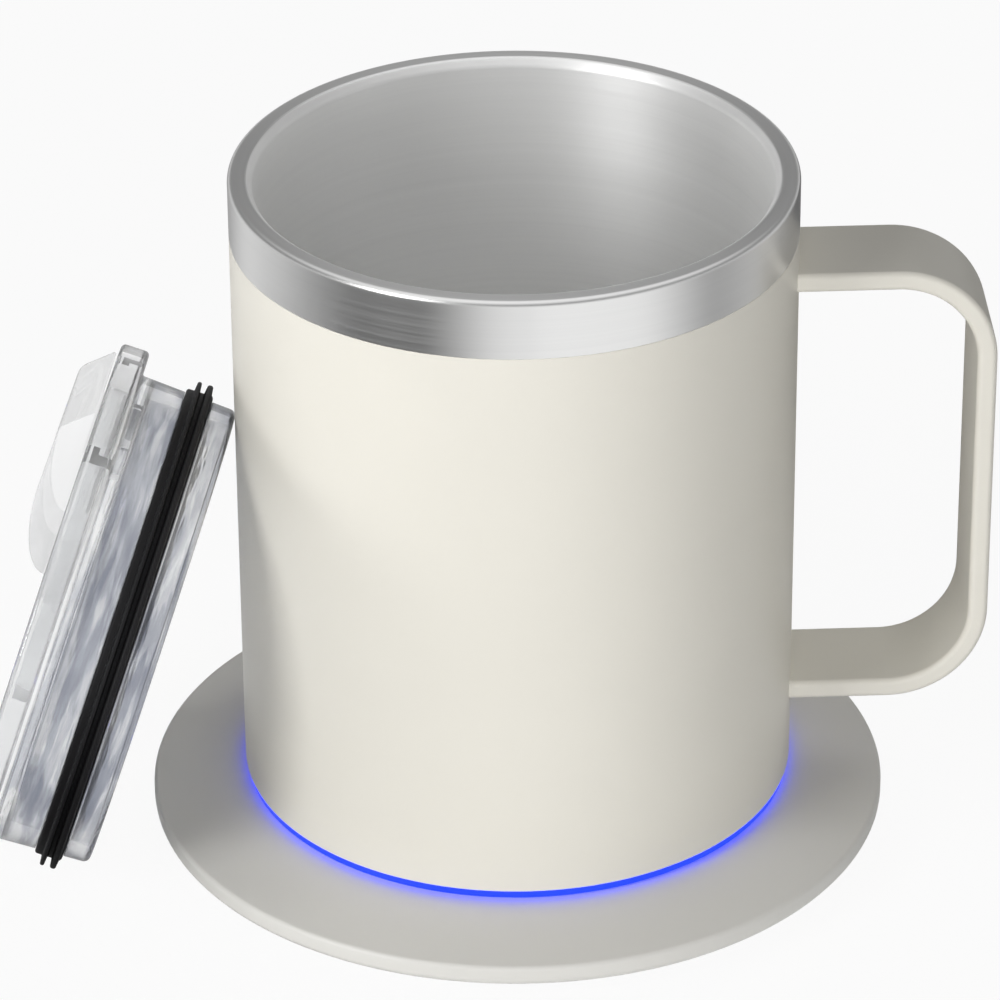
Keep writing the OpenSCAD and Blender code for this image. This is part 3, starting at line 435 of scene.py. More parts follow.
class Value:
    """A number that a node gives, with arithmetic that adds Math nodes."""

    def __init__(self, nodes, socket):
        self.nodes = nodes
        self.socket = socket

    def math(self, operation, first, second):
        return self.nodes.node("ShaderNodeMath", {"operation": operation}, {0: first, 1: second})

    def __add__(self, other):
        return self.math("ADD", self, other)

    def __sub__(self, other):
        return self.math("SUBTRACT", self, other)

    def __rsub__(self, other):
        return self.math("SUBTRACT", other, self)

    def __mul__(self, other):
        return self.math("MULTIPLY", self, other)

    def __gt__(self, other):
        return self.math("GREATER_THAN", self, other)

    __radd__ = __add__
    __rmul__ = __mul__


class Nodes:
    """The nodes of one finish or background."""

    def __init__(self, tree, output):
        self.tree = tree
        self.tree.nodes.clear()
        self.output = self.tree.nodes.new(output)

    def node(self, kind, settings=None, inputs=None, output=0):
        """Adds a node: its settings first, then the values or links of its sockets."""
        added = self.tree.nodes.new(kind)
        for name, value in (settings or {}).items():
            if name == "stops":
                self.grade(added.color_ramp, value)
            else:
                setattr(added, name, value)
        for name, value in (inputs or {}).items():
            self.feed(added.inputs[name], value)
        return Value(self, added.outputs[output])

    def feed(self, socket, value):
        """Links a value to a socket, or sets the socket."""
        if isinstance(value, Value):
            self.tree.links.new(value.socket, socket)
        else:
            socket.default_value = value

    @staticmethod
    def grade(ramp, stops):
        """Sets a ramp's stops, each a position and a grey level."""
        while len(ramp.elements) < len(stops):
            ramp.elements.new(1.0)
        for element, (position, level) in zip(ramp.elements, stops):
            element.position = position
            element.color = (level, level, level, 1.0)

    def shows(self, shader):
        """Makes a shader the one that shows."""
        self.feed(self.output.inputs["Surface"], shader)

    def place(self):
        """Where a point lies on the piece."""
        return self.node("ShaderNodeTexCoord", output="Object")

    def noise(self, vector, scale, detail=2.0):
        """Noise between about 0.3 and 0.7, with a grain of one over the scale, in metres."""
        return self.node("ShaderNodeTexNoise", {"noise_dimensions": "3D"},
                         {"Vector": vector, "Scale": scale, "Detail": detail})

    def stretched(self, vector, scale):
        """Coordinates drawn out along the axes."""
        return self.node("ShaderNodeMapping", {}, {"Vector": vector, "Scale": scale})

    def mix(self, share, first, second):
        """A colour between two colours."""
        return self.node("ShaderNodeMix", {"data_type": "RGBA"},
                         {0: share, 6: (*first, 1.0), 7: (*second, 1.0)}, 2)

    def bump(self, height, depth, strength=1.0):
        """A surface raised by a height between 0 and 1."""
        return self.node("ShaderNodeBump", {}, {"Height": height, "Distance": depth, "Strength": strength},
                         "Normal")

    def surface(self, **values):
        """The surface shader, with its sockets named in lower case."""
        inputs = {name.replace("_", " ").title().replace("Ior", "IOR"): value
                  for name, value in values.items()}
        self.shows(self.node("ShaderNodeBsdfPrincipled", {}, inputs))


def shade(tone, share):
    """A colour made darker or lighter."""
    return tuple(min(1.0, channel * share) for channel in tone)


def lid_turn():
    """Turn from the part's frame into the lid's own, whose first axis is the slider's way to close."""
    joint = next(joint for joint in frame["joints"] if joint["name"] == "slider_open")
    up = -Vector(joint["axis"]).normalized()
    side = Vector((-up.y, up.x, 0)).normalized()
    return Matrix((up, side, up.cross(side)))


def lid_place(lid):
    """Where the lid's own frame stands: its axes from the slider's joint, its middle from its solid."""
    turn = lid_turn()
    points = [turn @ vert.co for vert in frame["nodes"]["lid_body"].data.vertices]
    lowest = Vector([min(point[axis] for point in points) for axis in range(3)])
    highest = Vector([max(point[axis] for point in points) for axis in range(3)])
    middle = (lowest + highest) / 2
    middle.z = highest.z - lid.flange_height
    return Matrix.Translation(turn.transposed() @ middle) @ turn.transposed().to_4x4()


def coat_finish(nodes, tone, grain_scale):
    """Satin coat: a fine, even grain and a faint drift of tone."""
    place = nodes.place()
    grain = nodes.noise(place, grain_scale)
    drift = nodes.noise(place, 22.0, 3.0)
    nodes.surface(base_color=nodes.mix(drift, shade(tone, 0.97), shade(tone, 1.03)),
                  roughness=0.36 + 0.12 * grain,
                  specular_ior_level=0.5,
                  normal=nodes.bump(grain, 0.03 * MM, 0.35))


def satin_coat(nodes, colours):
    """Powder coat of the mug and its handle."""
    coat_finish(nodes, colours.coat, 2400.0)


def coaster_plastic(nodes, colours):
    """Moulded plastic with a slightly coarser grain."""
    coat_finish(nodes, colours.coaster, 1600.0)


def steel_finish(nodes, tone, mouth=0.0):
    """Steel with fine lines that run round the mug's axis, softer inside the mouth, where it is painted paler to
    brighten the cup's inside.
    """
    place = nodes.place()
    height = nodes.node("ShaderNodeSeparateXYZ", {}, {0: place}, "Z")
    flat = nodes.node("ShaderNodeVectorMath", {"operation": "MULTIPLY"}, {0: place, 1: (1.0, 1.0, 0.0)})
    radius = nodes.node("ShaderNodeVectorMath", {"operation": "LENGTH"}, {0: flat}, "Value")
    across = nodes.node("ShaderNodeCombineXYZ", {}, {"Z": radius + height})
    round_axis = nodes.stretched(flat, (0.006, 0.006, 0.0))
    along = nodes.node("ShaderNodeVectorMath", {"operation": "ADD"}, {0: round_axis, 1: across})
    lines = nodes.noise(along, 3200.0, 4.0)
    streaks = nodes.noise(along, 700.0, 2.0)
    # Inside the mouth the softer, less metallic satin is the cup's own finish, and the paler tone on it is painted
    # light that brightens the inside.
    inside = 1.0 - (radius > mouth) if mouth else 0.0
    nodes.surface(base_color=nodes.mix(0.2 * lines + 0.2 * streaks + 0.6 * inside, shade(tone, 0.93),
                                       shade(tone, 1.25)),
                  metallic=1.0 - 0.25 * inside,
                  roughness=0.27 + 0.12 * lines + 0.17 * inside,
                  anisotropic=0.6,
                  anisotropic_rotation=0.25,
                  normal=nodes.bump(lines, 0.004 * MM, 0.15))


def turned_steel(nodes, colours):
    """Brushed steel of the small metal parts."""
    steel_finish(nodes, colours.steel)


def mouth_steel(nodes, colours):
    """Brushed steel of the band, and the blasted steel of the cup, whose paler tone is painted light that
    brightens the inside.
    """
    mug = bpy.context.scene.mug_sizes
    steel_finish(nodes, colours.steel, mug.radius - mug.lip_width)


def clear_plastic(nodes, colours):
    """Clear plastic, faintly milky, with drawn lines that run round the lid's axis, and painted reflection: grey
    patches and streaks in the plug.
    """
    laid_back = lid_place(bpy.context.scene.lid_sizes).inverted()
    laid = nodes.node("ShaderNodeMapping", {}, {"Vector": nodes.place(), "Rotation": laid_back.to_euler(),
                                                "Location": laid_back.translation})
    lines = nodes.noise(nodes.stretched(laid, (0.12, 0.12, 1.0)), 420.0, 3.0)
    flow = nodes.noise(laid, 120.0, 2.0)
    # Grey patches and lighter streaks below the flange are painted reflection, standing in for darker surroundings
    # seen in the clear plastic; the flange above stays clear.
    painted_reflection = nodes.noise(nodes.stretched(laid, (0.25, 0.25, 1.0)), 170.0, 2.0)
    streaks = nodes.noise(nodes.stretched(laid, (0.1, 0.1, 1.0)), 620.0, 3.0)
    clear = nodes.node("ShaderNodeValToRGB", {"stops": [(0.46, 0.0), (0.52, 1.0)]}, {0: painted_reflection})
    bright = nodes.node("ShaderNodeValToRGB", {"stops": [(0.5, 0.0), (0.56, 1.0)]}, {0: streaks})
    above = nodes.node("ShaderNodeSeparateXYZ", {}, {0: laid}, "Z") > 0.0
    share = 0.1 * lines + 0.6 * clear + 0.7 * bright + above
    nodes.surface(base_color=nodes.mix(share, colours.painted_reflection, colours.clear),
                  roughness=0.02 + 0.04 * flow,
                  transmission_weight=0.88,
                  ior=1.49,
                  normal=nodes.bump(lines, 0.12 * MM, 0.35))


def milky_plastic(nodes, colours):
    """Milky plastic of the slider, polished, with a faint flow in it."""
    flow = nodes.noise(nodes.place(), 120.0, 2.0)
    nodes.surface(base_color=nodes.mix(flow, shade(colours.clear, 0.97), colours.clear),
                  roughness=0.06 + 0.08 * flow,
                  transmission_weight=0.75,
                  ior=1.49,
                  alpha=0.4,
                  normal=nodes.bump(flow, 0.1 * MM, 0.2))


def clear_silicone(nodes, colours):
    """Soft translucent silicone."""
    cloud = nodes.noise(nodes.place(), 400.0, 3.0)
    nodes.surface(base_color=nodes.mix(cloud, shade(colours.clear, 0.92), colours.clear),
                  roughness=0.28 + 0.2 * cloud,
                  transmission_weight=0.85,
                  ior=1.41)


def black_silicone(nodes, colours):
    """Matte black silicone with a fine grain and a little dust."""
    place = nodes.place()
    grain = nodes.noise(place, 2600.0, 3.0)
    dust = nodes.noise(place, 260.0, 4.0)
    nodes.surface(base_color=nodes.mix(dust, colours.silicone, shade(colours.silicone, 2.2)),
                  roughness=0.50 + 0.22 * grain,
                  specular_ior_level=0.25,
                  normal=nodes.bump(grain, 0.02 * MM, 0.4))


def glow(nodes, colours):
    """Frosted light guide that glows."""
    cloud = nodes.noise(nodes.place(), 90.0, 2.0)
    light = nodes.mix(cloud, shade(colours.glow, 0.9), shade(colours.glow, 1.1))
    nodes.surface(base_color=nodes.mix(cloud, shade(colours.glow, 0.2), shade(colours.glow, 0.3)),
                  roughness=0.35 + 0.1 * cloud,
                  emission_color=light,
                  emission_strength=2.2)


def moulded(nodes, tone, scale, rough):
    """Plain moulded plastic with a fine grain."""
    place = nodes.place()
    grain = nodes.noise(place, scale, 3.0)
    nodes.surface(base_color=nodes.mix(nodes.noise(place, 60.0), shade(tone, 0.9), shade(tone, 1.1)),
                  roughness=rough + 0.2 * grain,
                  normal=nodes.bump(grain, 0.03 * MM, 0.4))


def dark_plastic(nodes, colours):
    """Dark moulded plastic."""
    moulded(nodes, (0.035, 0.037, 0.041), 1500.0, 0.40)


def chip_plastic(nodes, colours):
    """Black resin of chips and switches."""
    moulded(nodes, (0.016, 0.016, 0.017), 3000.0, 0.45)


def diode_resin(nodes, colours):
    """Pale resin of the diodes."""
    moulded(nodes, (0.84, 0.83, 0.76), 2200.0, 0.25)


def wire_sleeve(nodes, colours):
    """Red sleeve of the wires."""
    moulded(nodes, (0.36, 0.016, 0.012), 900.0, 0.40)


def cell_sleeve(nodes, colours):
    """Blue foil sleeve of the battery pack, with soft creases."""
    place = nodes.place()
    creases = nodes.noise(nodes.stretched(place, (1.0, 4.0, 1.0)), 90.0, 4.0)
    nodes.surface(base_color=nodes.mix(creases, (0.035, 0.10, 0.28), (0.06, 0.16, 0.38)),
                  roughness=0.2 + 0.3 * creases,
                  normal=nodes.bump(creases, 0.3 * MM, 0.4))


def circuit_board(nodes, colours):
    """Solder mask with lighter tracks under it."""
    place = nodes.place()
    tracks = nodes.node("ShaderNodeTexBrick", {"offset": 0.37, "squash": 1.6},
                        {"Vector": place, "Scale": 160.0, "Mortar Size": 0.035, "Color1": (0, 0, 0, 1),
                         "Color2": (0, 0, 0, 1), "Mortar": (1, 1, 1, 1)}, "Fac")
    nodes.surface(base_color=nodes.mix(tracks, colours.board, shade(colours.board, 2.6)),
                  roughness=0.3 + 0.2 * nodes.noise(place, 800.0),
                  normal=nodes.bump(tracks, 0.05 * MM, 0.5))


def gold_plate(nodes, colours):
    """Gold plating with fine scratches from the contacts' rubbing."""
    scratches = nodes.noise(nodes.stretched(nodes.place(), (1.0, 14.0, 1.0)), 500.0, 5.0)
    nodes.surface(base_color=nodes.mix(scratches, shade(colours.gold, 0.85), shade(colours.gold, 1.1)),
                  metallic=1.0,
                  roughness=0.16 + 0.3 * scratches)


def heater_film(nodes, colours):
    """Amber film with its heating track showing through."""
    place = nodes.place()
    track = nodes.node("ShaderNodeTexWave", {"wave_type": "RINGS", "rings_direction": "Z"},
                       {"Vector": place, "Scale": 110.0}, "Fac")
    nodes.surface(base_color=nodes.mix(track > 0.6, (0.55, 0.20, 0.03), (0.30, 0.12, 0.03)),
                  roughness=0.25 + 0.1 * nodes.noise(place, 300.0),
                  coat_weight=0.3)


def felt(nodes, colours):
    """Pale felt with loose fibres."""
    place = nodes.place()
    fibres = nodes.noise(nodes.stretched(place, (1.0, 5.0, 3.0)), 700.0, 6.0)
    nodes.surface(base_color=nodes.mix(fibres, (0.44, 0.42, 0.38), (0.68, 0.66, 0.61)),
                  roughness=0.85 + 0.1 * fibres,
                  normal=nodes.bump(fibres, 0.3 * MM, 0.8))


FINISHES = {
    "coat": satin_coat, "coaster_plastic": coaster_plastic, "steel": turned_steel, "mouth_steel": mouth_steel,
    "clear_plastic": clear_plastic, "milky_plastic": milky_plastic, "clear_seal": clear_silicone,
    "silicone": black_silicone, "glow": glow, "dark_plastic": dark_plastic, "board": circuit_board,
    "chip": chip_plastic, "gold": gold_plate, "film": heater_film, "wire": wire_sleeve, "felt": felt,
    "cell": cell_sleeve, "diode": diode_resin}


def finish(slot):
    """The material of a slot, made the first time that it is asked for."""
    material = bpy.data.materials.get("finish_" + slot)
    if material is None:
        material = bpy.data.materials.new("finish_" + slot)
        material.use_nodes = True
        nodes = Nodes(material.node_tree, "ShaderNodeOutputMaterial")
        FINISHES[slot](nodes, bpy.context.scene.mug_colours)
    return material


class MakeShell(bpy.types.Operator):
    """Turns the coated outer shell of the mug"""

    bl_idname = "heated_mug.shell"
    bl_label = "Outer shell"

    def execute(self, context):
        mug = context.scene.mug_sizes
        bottom, top = low("outer_shell").z, high("outer_shell").z
        inside = mug.radius - mug.wall
        lathed("mug_shell", [
            (mug.radius, bottom, mug.edge), (mug.radius, top, mug.edge / 3), (inside, top, mug.edge / 3),
            (inside, bottom, mug.edge)], "mug", "coat", "outer_shell")
        return {"FINISHED"}


class MakeHandle(bpy.types.Operator):
    """Draws the flat strap of the handle round its two bends"""

    bl_idname = "heated_mug.handle"
    bl_label = "Handle"

    def execute(self, context):
        mug = context.scene.mug_sizes
        lowest, highest = low("handle"), high("handle")
        half = highest.y
        bend_x = highest.x - mug.strap_bend
        bend_low = lowest.z + mug.strap_bend
        bend_high = highest.z - mug.strap_bend
        section = boxed((-half, highest.z - mug.strap), (half, highest.z), mug.strap_edge)
        quarter = {"axis": (0, 1, 0), "angle": math.pi / 2, "steps": BEND_STEPS}
        bm = bmesh.new()
        root = loop_of(bm, [(mug.radius, y, z) for y, z in section])
        arm = carried(bm, root, (bend_x - mug.radius, 0, 0))
        side = swung(bm, arm, centre=(bend_x, 0, bend_high), **quarter)
        side = carried(bm, side, (0, 0, bend_low - bend_high))
        arm = swung(bm, side, centre=(bend_x, 0, bend_low), **quarter)
        foot = carried(bm, arm, (mug.radius - bend_x, 0, 0))
        for vert in {vert for edge in root + foot for vert in edge.verts}:
            vert.co.x = math.sqrt(mug.radius ** 2 - vert.co.y ** 2)
        bmesh.ops.remove_doubles(bm, verts=bm.verts, dist=SAME_POINT)
        bmesh.ops.holes_fill(bm, edges=bm.edges[:], sides=0)
        dressed(made("strap_handle", bm), "mug", "coat", "handle")
        return {"FINISHED"}


class MakeSteel(bpy.types.Operator):
    """Turns the bare steel band with its lip, and the inner cup"""

    bl_idname = "heated_mug.steel"
    bl_label = "Steel band and cup"

    def execute(self, context):
        mug = context.scene.mug_sizes
        band, lip, seam = high("outer_shell").z, high("rim_band").z, high("inner_cup").z
        mouth = high("inner_cup").x - mug.cup_wall
        inside = mug.radius - mug.wall
        lip_in = mug.radius - mug.lip_width
        lip_low = lip - mug.lip_thickness
        spigot = inside - mug.fit
        spigot_in = spigot - mug.spigot_wall
        spigot_low, spigot_high = band - mug.spigot, band + mug.spigot
        lathed("steel_band", [
            (mug.radius, band, mug.fit), (mug.radius, lip, mug.lip_round), (lip_in, lip, mug.lip_round),
            (mouth + mug.fit, lip_low, mug.lead_bend), (mouth, seam, 0), (mouth + mug.cup_wall, seam, 0),
            (lip_in + mug.lip_thickness, lip_low, 0), (inside, lip_low, 0), (inside, spigot_high, 0),
            (spigot_in, spigot_high, 0), (spigot_in, spigot_low, 0), (spigot, spigot_low, 0),
            (spigot, band, 0)], "mug", "steel", "rim_band", look="mouth_steel")

        under = low("inner_cup").z
        floor = under + mug.cup_wall
        floor_r = mouth - mug.cup_taper
        lathed("steel_cup", [
            (0, under, 0), (floor_r + mug.cup_wall, under, mug.cup_bend + mug.cup_wall),
            (mouth + mug.cup_wall, seam, 0), (mouth, seam, 0), (floor_r, floor, mug.cup_bend),
            (0, floor, 0)], "mug", "steel", "inner_cup", look="mouth_steel")
        return {"FINISHED"}


class MakeLightRing(bpy.types.Operator):
    """Turns the ring that glows under the outer shell's lower edge"""

    bl_idname = "heated_mug.light_ring"
    bl_label = "Light ring"

    def execute(self, context):
        mug = context.scene.mug_sizes
        bottom, top = low("light_ring").z, high("light_ring").z
        outside, edge = high("light_ring").x, low("outer_shell").z
        spigot = mug.radius - mug.wall - mug.fit
        inside = spigot - mug.light_width
        lathed("glow_ring", [
            (inside, bottom, 0), (outside, bottom, mug.light_round), (outside, edge, mug.fit),
            (spigot, edge, 0), (spigot, top, 0), (inside, top, 0)], "mug", "glow", "light_ring")
        return {"FINISHED"}


class MakeUnderside(bpy.types.Operator):
    """Turns the pieces of the mug's underside: base plate, foot, contacts and power button"""

    bl_idname = "heated_mug.underside"
    bl_label = "Underside of the mug"

    def execute(self, context):
        mug = context.scene.mug_sizes
        fine = 2 * mug.fit
        plate_r, bottom, plate_top = high("base_plate").x, low("base_plate").z, high("base_plate").z
        foot_out, foot_top = high("foot_ring").x + mug.fit, high("foot_ring").z
        foot_in = foot_out - FOOT_GROOVE
        recess = bottom + mug.recess_depth
        seat = recess + mug.contact
        face, flange = low("power_button").z, high("power_button").z
        top = face + PLATE_HEIGHT
        disc = high("contact_disc").x + mug.fit
        ring_out = high("contact_ring").x + mug.fit
        ring_in = ring_out - RING_GROOVE
        plate = made("base_plate_cover", turned(rounded([
            (0, seat, 0), (disc, seat, 0), (disc, recess, mug.fit), (ring_in, recess, mug.fit),
            (ring_in, seat, 0), (ring_out, seat, 0), (ring_out, recess, mug.fit),
            (mug.recess, recess, fine), (mug.recess, bottom, fine), (foot_in, bottom, fine),
            (foot_in, foot_top, 0), (foot_out, foot_top, 0), (foot_out, bottom, fine),
            (plate_r, bottom, fine), (plate_r, top, 0), (0, top, 0)])))
        button = centre_of("power_button")
        combined(plate, "DIFFERENCE", post(button.x, button.y, mug.button_hole, bottom - PAST, plate_top))
        dressed(plate, "mug", "coaster_plastic", "base_plate")

        ground, pad_in, pad_out = low("foot_ring").z, foot_in + mug.fit, foot_out - mug.fit
        lathed("foot_pad", [
            (pad_in, ground, 2 * fine), (pad_out, ground, 2 * fine), (pad_out, foot_top, 0),
            (pad_in, foot_top, 0)], "mug", "silicone", "foot_ring")

        contacts = {"centre_contact": ("contact_disc", 0.0, disc - mug.fit),
                    "ring_contact": ("contact_ring", ring_in + mug.fit, ring_out - mug.fit)}
        for name, (node, inner, outer) in contacts.items():
            lathed(name, [
                (inner, recess, fine if inner else 0), (outer, recess, fine), (outer, seat, 0),
                (inner, seat, 0)], "mug", "gold", node, SMALL_STEPS)

        flange_r = high("power_button").x
        button_r = mug.button_hole - fine
        step, stem = flange - BUTTON_STEP, flange - BUTTON_STEM_HEIGHT
        lathed("press_button", [
            (0, face + mug.button_dish, 0), (button_r - BUTTON_RIM, face + mug.button_dish / 4, BUTTON_BEND),
            (button_r, face, 2 * fine), (button_r, step, 0), (flange_r, step, 0), (flange_r, stem, 0),
            (BUTTON_STEM, stem, 0), (BUTTON_STEM, flange, 0), (0, flange, 0)],
            "button", "dark_plastic", "power_button", SMALL_STEPS, (button.x, button.y))
        return {"FINISHED"}


class MakeCoaster(bpy.types.Operator):
    """Turns the saucer-like coaster with its inlet, cover, mat and contact pins"""

    bl_idname = "heated_mug.coaster"
    bl_label = "Coaster"

    pins = {"contact_pin_centre": "centre_pin", "contact_pin_side": "side_pin"}

    def execute(self, context):
        dish = context.scene.coaster_sizes
        gap = dish.inlet_gap
        boss_top, bottom = high("coaster_shell").z, low("coaster_shell").z
        rim_top = dish.top - dish.drop
        rim_low = rim_top - dish.rim
        inside = dish.plinth - dish.plinth_wall
        bay = dish.top - dish.skin
        top = made("coaster_top", turned(rounded([
            (0, boss_top, 0), (dish.boss, boss_top, EDGE), (dish.boss, dish.top, BOSS_BEND),
            (dish.flat, dish.top, TOP_BEND), (dish.radius, rim_top + RIM_RISE, dish.rim_round),
            (dish.radius, rim_low, dish.rim_under), (dish.plinth, rim_low, PLINTH_BEND),
            (dish.plinth, bottom, EDGE), (inside, bottom, FINE_EDGE), (inside, bay, 0), (0, bay, 0)])))
        inlet_low, inlet_high = low("inlet_shell"), high("inlet_shell")
        back = high("coaster_shell").y
        face = inlet_high.y + gap
        combined(top, "UNION", block((-dish.block / 2, inside + dish.plinth_wall / 2, bottom),
                                     (dish.block / 2, face, rim_low + dish.rim / 2), EDGE))
        slot = boxed((inlet_low.x - gap, inlet_low.z - gap), (inlet_high.x + gap, inlet_high.z + gap))
        spots = {node: centre_of(node) for node in self.pins}
        combined(top, "DIFFERENCE",
                 block((-dish.radius, face, 0), (dish.radius, back + dish.radius, dish.top)),
                 prism([(x, inside - INLET_DEPTH, z) for x, z in slot], (0, dish.radius, 0)),
                 *[post(spot.x, spot.y, dish.pin_hole, bay - PAST, boss_top + PAST)
                   for spot in spots.values()])
        dressed(top, "coaster", "coaster_plastic", "coaster_shell")

        cover_top, cover_r = bay - COVER_DROP, high("coaster_cover").x
        mat_top, mat_r = high("coaster_mat").z, high("coaster_mat").x
        mat_bed = mat_r + MAT_GAP
        lathed("coaster_under_cover", [
            (0, mat_top, 0), (mat_bed, mat_top, 0), (mat_bed, bottom, FINE_EDGE),
            (cover_r, bottom, COVER_EDGE), (cover_r, cover_top, 0), (0, cover_top, 0)],
            "coaster", "coaster_plastic", "coaster_cover")
        lathed("coaster_pad", [(0, 0, 0), (mat_r, 0, MAT_EDGE), (mat_r, mat_top, 0), (0, mat_top, 0)],
               "coaster", "silicone", "coaster_mat")

        for node, body in self.pins.items():
            spot, tip, foot = spots[node], high(node).z, low(node).z
            collar = high(node).x - spot.x
            radius = collar - PIN_STEP
            ledge = foot + PIN_FOOT_HEIGHT
            shoulder = ledge + PIN_COLLAR
            lathed(node.replace("contact", "gold"), [
                (0, foot, 0), (PIN_FOOT, foot, 0), (PIN_FOOT, ledge, 0), (collar, ledge, 0),
                (collar, shoulder, 0), (radius, shoulder, 0), (radius, tip, PIN_ROUND), (0, tip, 0)],
                body, "gold", node, SMALL_STEPS, (spot.x, spot.y))
        return {"FINISHED"}


class MakeSprings(bpy.types.Operator):
    """Winds the springs of the button and the contact pins"""

    bl_idname = "heated_mug.springs"
    bl_label = "Springs"

    def execute(self, context):
        wire = context.scene.mug_sizes.spring_wire
        behaviour = frame["record"]["behaviour"]
        bodies = {node: body for body, nodes in behaviour["bodies"].items() for node in nodes}
        for joint in behaviour["joints"]:
            for row in joint.get("deforming_nodes", []):
                node, fixed = row["node"], row["fixed_end_z_m"]
                spring = made(node.replace("spring", "coil"), self.wound(node, wire))
                dressed(spring, bodies[node], "steel", node)
                reach = max(abs(fixed - low(node).z), abs(fixed - high(node).z))
                1 - joint["range_m"][1] / reach
                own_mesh(spring)
        return {"FINISHED"}

    @staticmethod
    def wound(node, wire):
        """A wire wound to a spring that fills its solid's box."""
        lowest, highest, middle = low(node), high(node), centre_of(node)
        steps = SPRING_TURNS * SMALL_STEPS // 2
        rise = highest.z - lowest.z - wire
        start = Matrix.Translation((highest.x - wire / 2, middle.y, lowest.z + wire / 2))
        bm = bmesh.new()
        bmesh.ops.create_circle(bm, segments=WIRE_SIDES, radius=wire / 2,
                                matrix=start @ Matrix.Rotation(math.pi / 2, 4, "X"))
        bmesh.ops.spin(bm, geom=bm.verts[:] + bm.edges[:], cent=middle, axis=(0, 0, 1),
                       dvec=(0, 0, rise / steps), angle=2 * math.pi * SPRING_TURNS, steps=steps)
        bmesh.ops.holes_fill(bm, edges=bm.edges[:], sides=0)
        return bm


class MakeLid(bpy.types.Operator):
    """Turns the clear lid and its black gasket"""

    bl_idname = "heated_mug.lid"
    bl_label = "Lid"

    def execute(self, context):
        lid = context.scene.lid_sizes
        place = lid_place(lid)
        under = lid.deck - lid.deck_wall
        groove_high = -lid.gasket_top
        groove_low = groove_high - lid.gasket_height
        taper = (lid.plug - lid.plug_end) / lid.plug_depth
        body = made("clear_lid", turned(rounded([
            (0, under, 0), (lid.inside, under, DECK_BEND), (lid.inside, -lid.plug_depth, EDGE),
            (lid.plug_end, -lid.plug_depth, lid.plug_round),
            (lid.plug + taper * groove_low, groove_low, GROOVE_EDGE), (lid.groove, groove_low, 0),
            (lid.groove, groove_high, 0), (lid.plug + taper * groove_high, groove_high, GROOVE_EDGE),
            (lid.plug, 0, EDGE), (lid.flange, 0, lid.flange_round),
            (lid.flange, lid.flange_height, lid.flange_round), (lid.inside, lid.flange_height, EDGE),
            (lid.inside, lid.deck, EDGE), (0, lid.deck, 0)])))

        inner = lid.slider_width / 2 + lid.gap
        outer, lip = inner + lid.rail, inner - lid.rail_lip
        lip_low = lid.deck + 2 * lid.gap + lid.slider_wall
        sunk = lid.deck - SINK
        start = -lid.rail_back - lid.rail
        section = [(outer, sunk), (outer, lid.rail_top), (lip, lid.rail_top), (lip, lip_low),
                   (inner, lip_low), (inner, sunk)]
        for side in (-1, 1):
            rail = prism([(start, side * y, z) for y, z in section], (lid.inside + PAST - start, 0, 0))
            combined(body, "UNION", rail)
        combined(body, "UNION", block((start, -inner - lid.rail / 2, sunk),
                                      (-lid.rail_back, inner + lid.rail / 2, lid.rail_top)))

        half_w, half_h = lid.slot_width / 2, lid.slot_height / 2
        slot = boxed((lid.slot_place - half_h, -half_w), (lid.slot_place + half_h, half_w))
        combined(body, "DIFFERENCE",
                 prism([(x, y, under - PAST) for x, y in slot], (0, 0, lid.deck_wall + 2 * PAST)),
                 post(-lid.slot_place, 0, lid.vent, under - PAST, lid.deck + PAST))
        dressed(body, "lid", "clear_plastic", "lid_body", place=place)

        bed, bottom, top = lid.groove + GASKET_GAP, groove_low + GASKET_GAP, groove_high - GASKET_GAP
        corners = [(bed, bottom, 0), (lid.gasket, bottom, EDGE)]
        for drop, thick in FINS:
            height = groove_high - drop
            tip, bend = thick / 3, 0.3 * thick
            corners += [(lid.gasket, height - thick / 2, GROOVE_EDGE), (lid.fin, height - tip, bend),
                        (lid.fin, height + tip, bend), (lid.gasket, height + thick / 2, GROOVE_EDGE)]
        corners += [(lid.gasket, top, EDGE), (bed, top, 0)]
        lathed("black_gasket", corners, "lid", "silicone", "lid_gasket", place=place)
        return {"FINISHED"}


class MakeSlider(bpy.types.Operator):
    """Makes the milky slider with its thumb block"""

    bl_idname = "heated_mug.slider"
    bl_label = "Slider"

    def execute(self, context):
        lid = context.scene.lid_sizes
        bottom = lid.deck + lid.gap
        half = lid.slider_width / 2
        reach = math.asin(half / lid.slider_front)
        front = [(lid.slider_front * math.cos(angle), lid.slider_front * math.sin(angle))
                 for angle in (reach * (step / ARC_STEPS - 1) for step in range(2 * ARC_STEPS + 1))]
        plan = [(lid.slider_back, half), (lid.slider_back, -half)] + front
        plate = prism([(x, y, bottom) for x, y in plan], (0, 0, lid.slider_wall))
        soften(plate, SLIDER_EDGE, segments=2)
        slider = made("thumb_slider", plate)

        toe_z = lid.flange_height + TOE_GAP
        neck = math.sqrt(lid.slider_front ** 2 - lid.thumb_width ** 2 / 4)
        rise = lid.thumb_top - toe_z
        start = lid.slider_back + lid.thumb_start
        curve = [(start + lid.thumb_back * (1 - math.cos(angle)), toe_z + rise * math.sin(angle))
                 for angle in (math.pi / 2 * step / ARC_STEPS for step in range(ARC_STEPS + 1))]
        heel, seat = lid.slider_back + HEEL_INSET, bottom + SINK
        profile = rounded([
            (lid.toe - rise, lid.thumb_top, lid.thumb_round), (lid.toe, toe_z, TOE_ROUND),
            (neck, toe_z, TOE_ROUND), (neck, seat, 0), (heel, seat, 0), (heel, toe_z - HEEL_DROP, 0)])
        outline = curve + [tuple(point) for point in profile]
        thumb = prism([(x, -lid.thumb_width / 2, z) for x, z in outline], (0, lid.thumb_width, 0))
        soften(thumb, lid.thumb_edge)
        combined(slider, "UNION", thumb)
        dressed(slider, "slider", "clear_plastic", "lid_slider", place=lid_place(lid), look="milky_plastic")
        return {"FINISHED"}


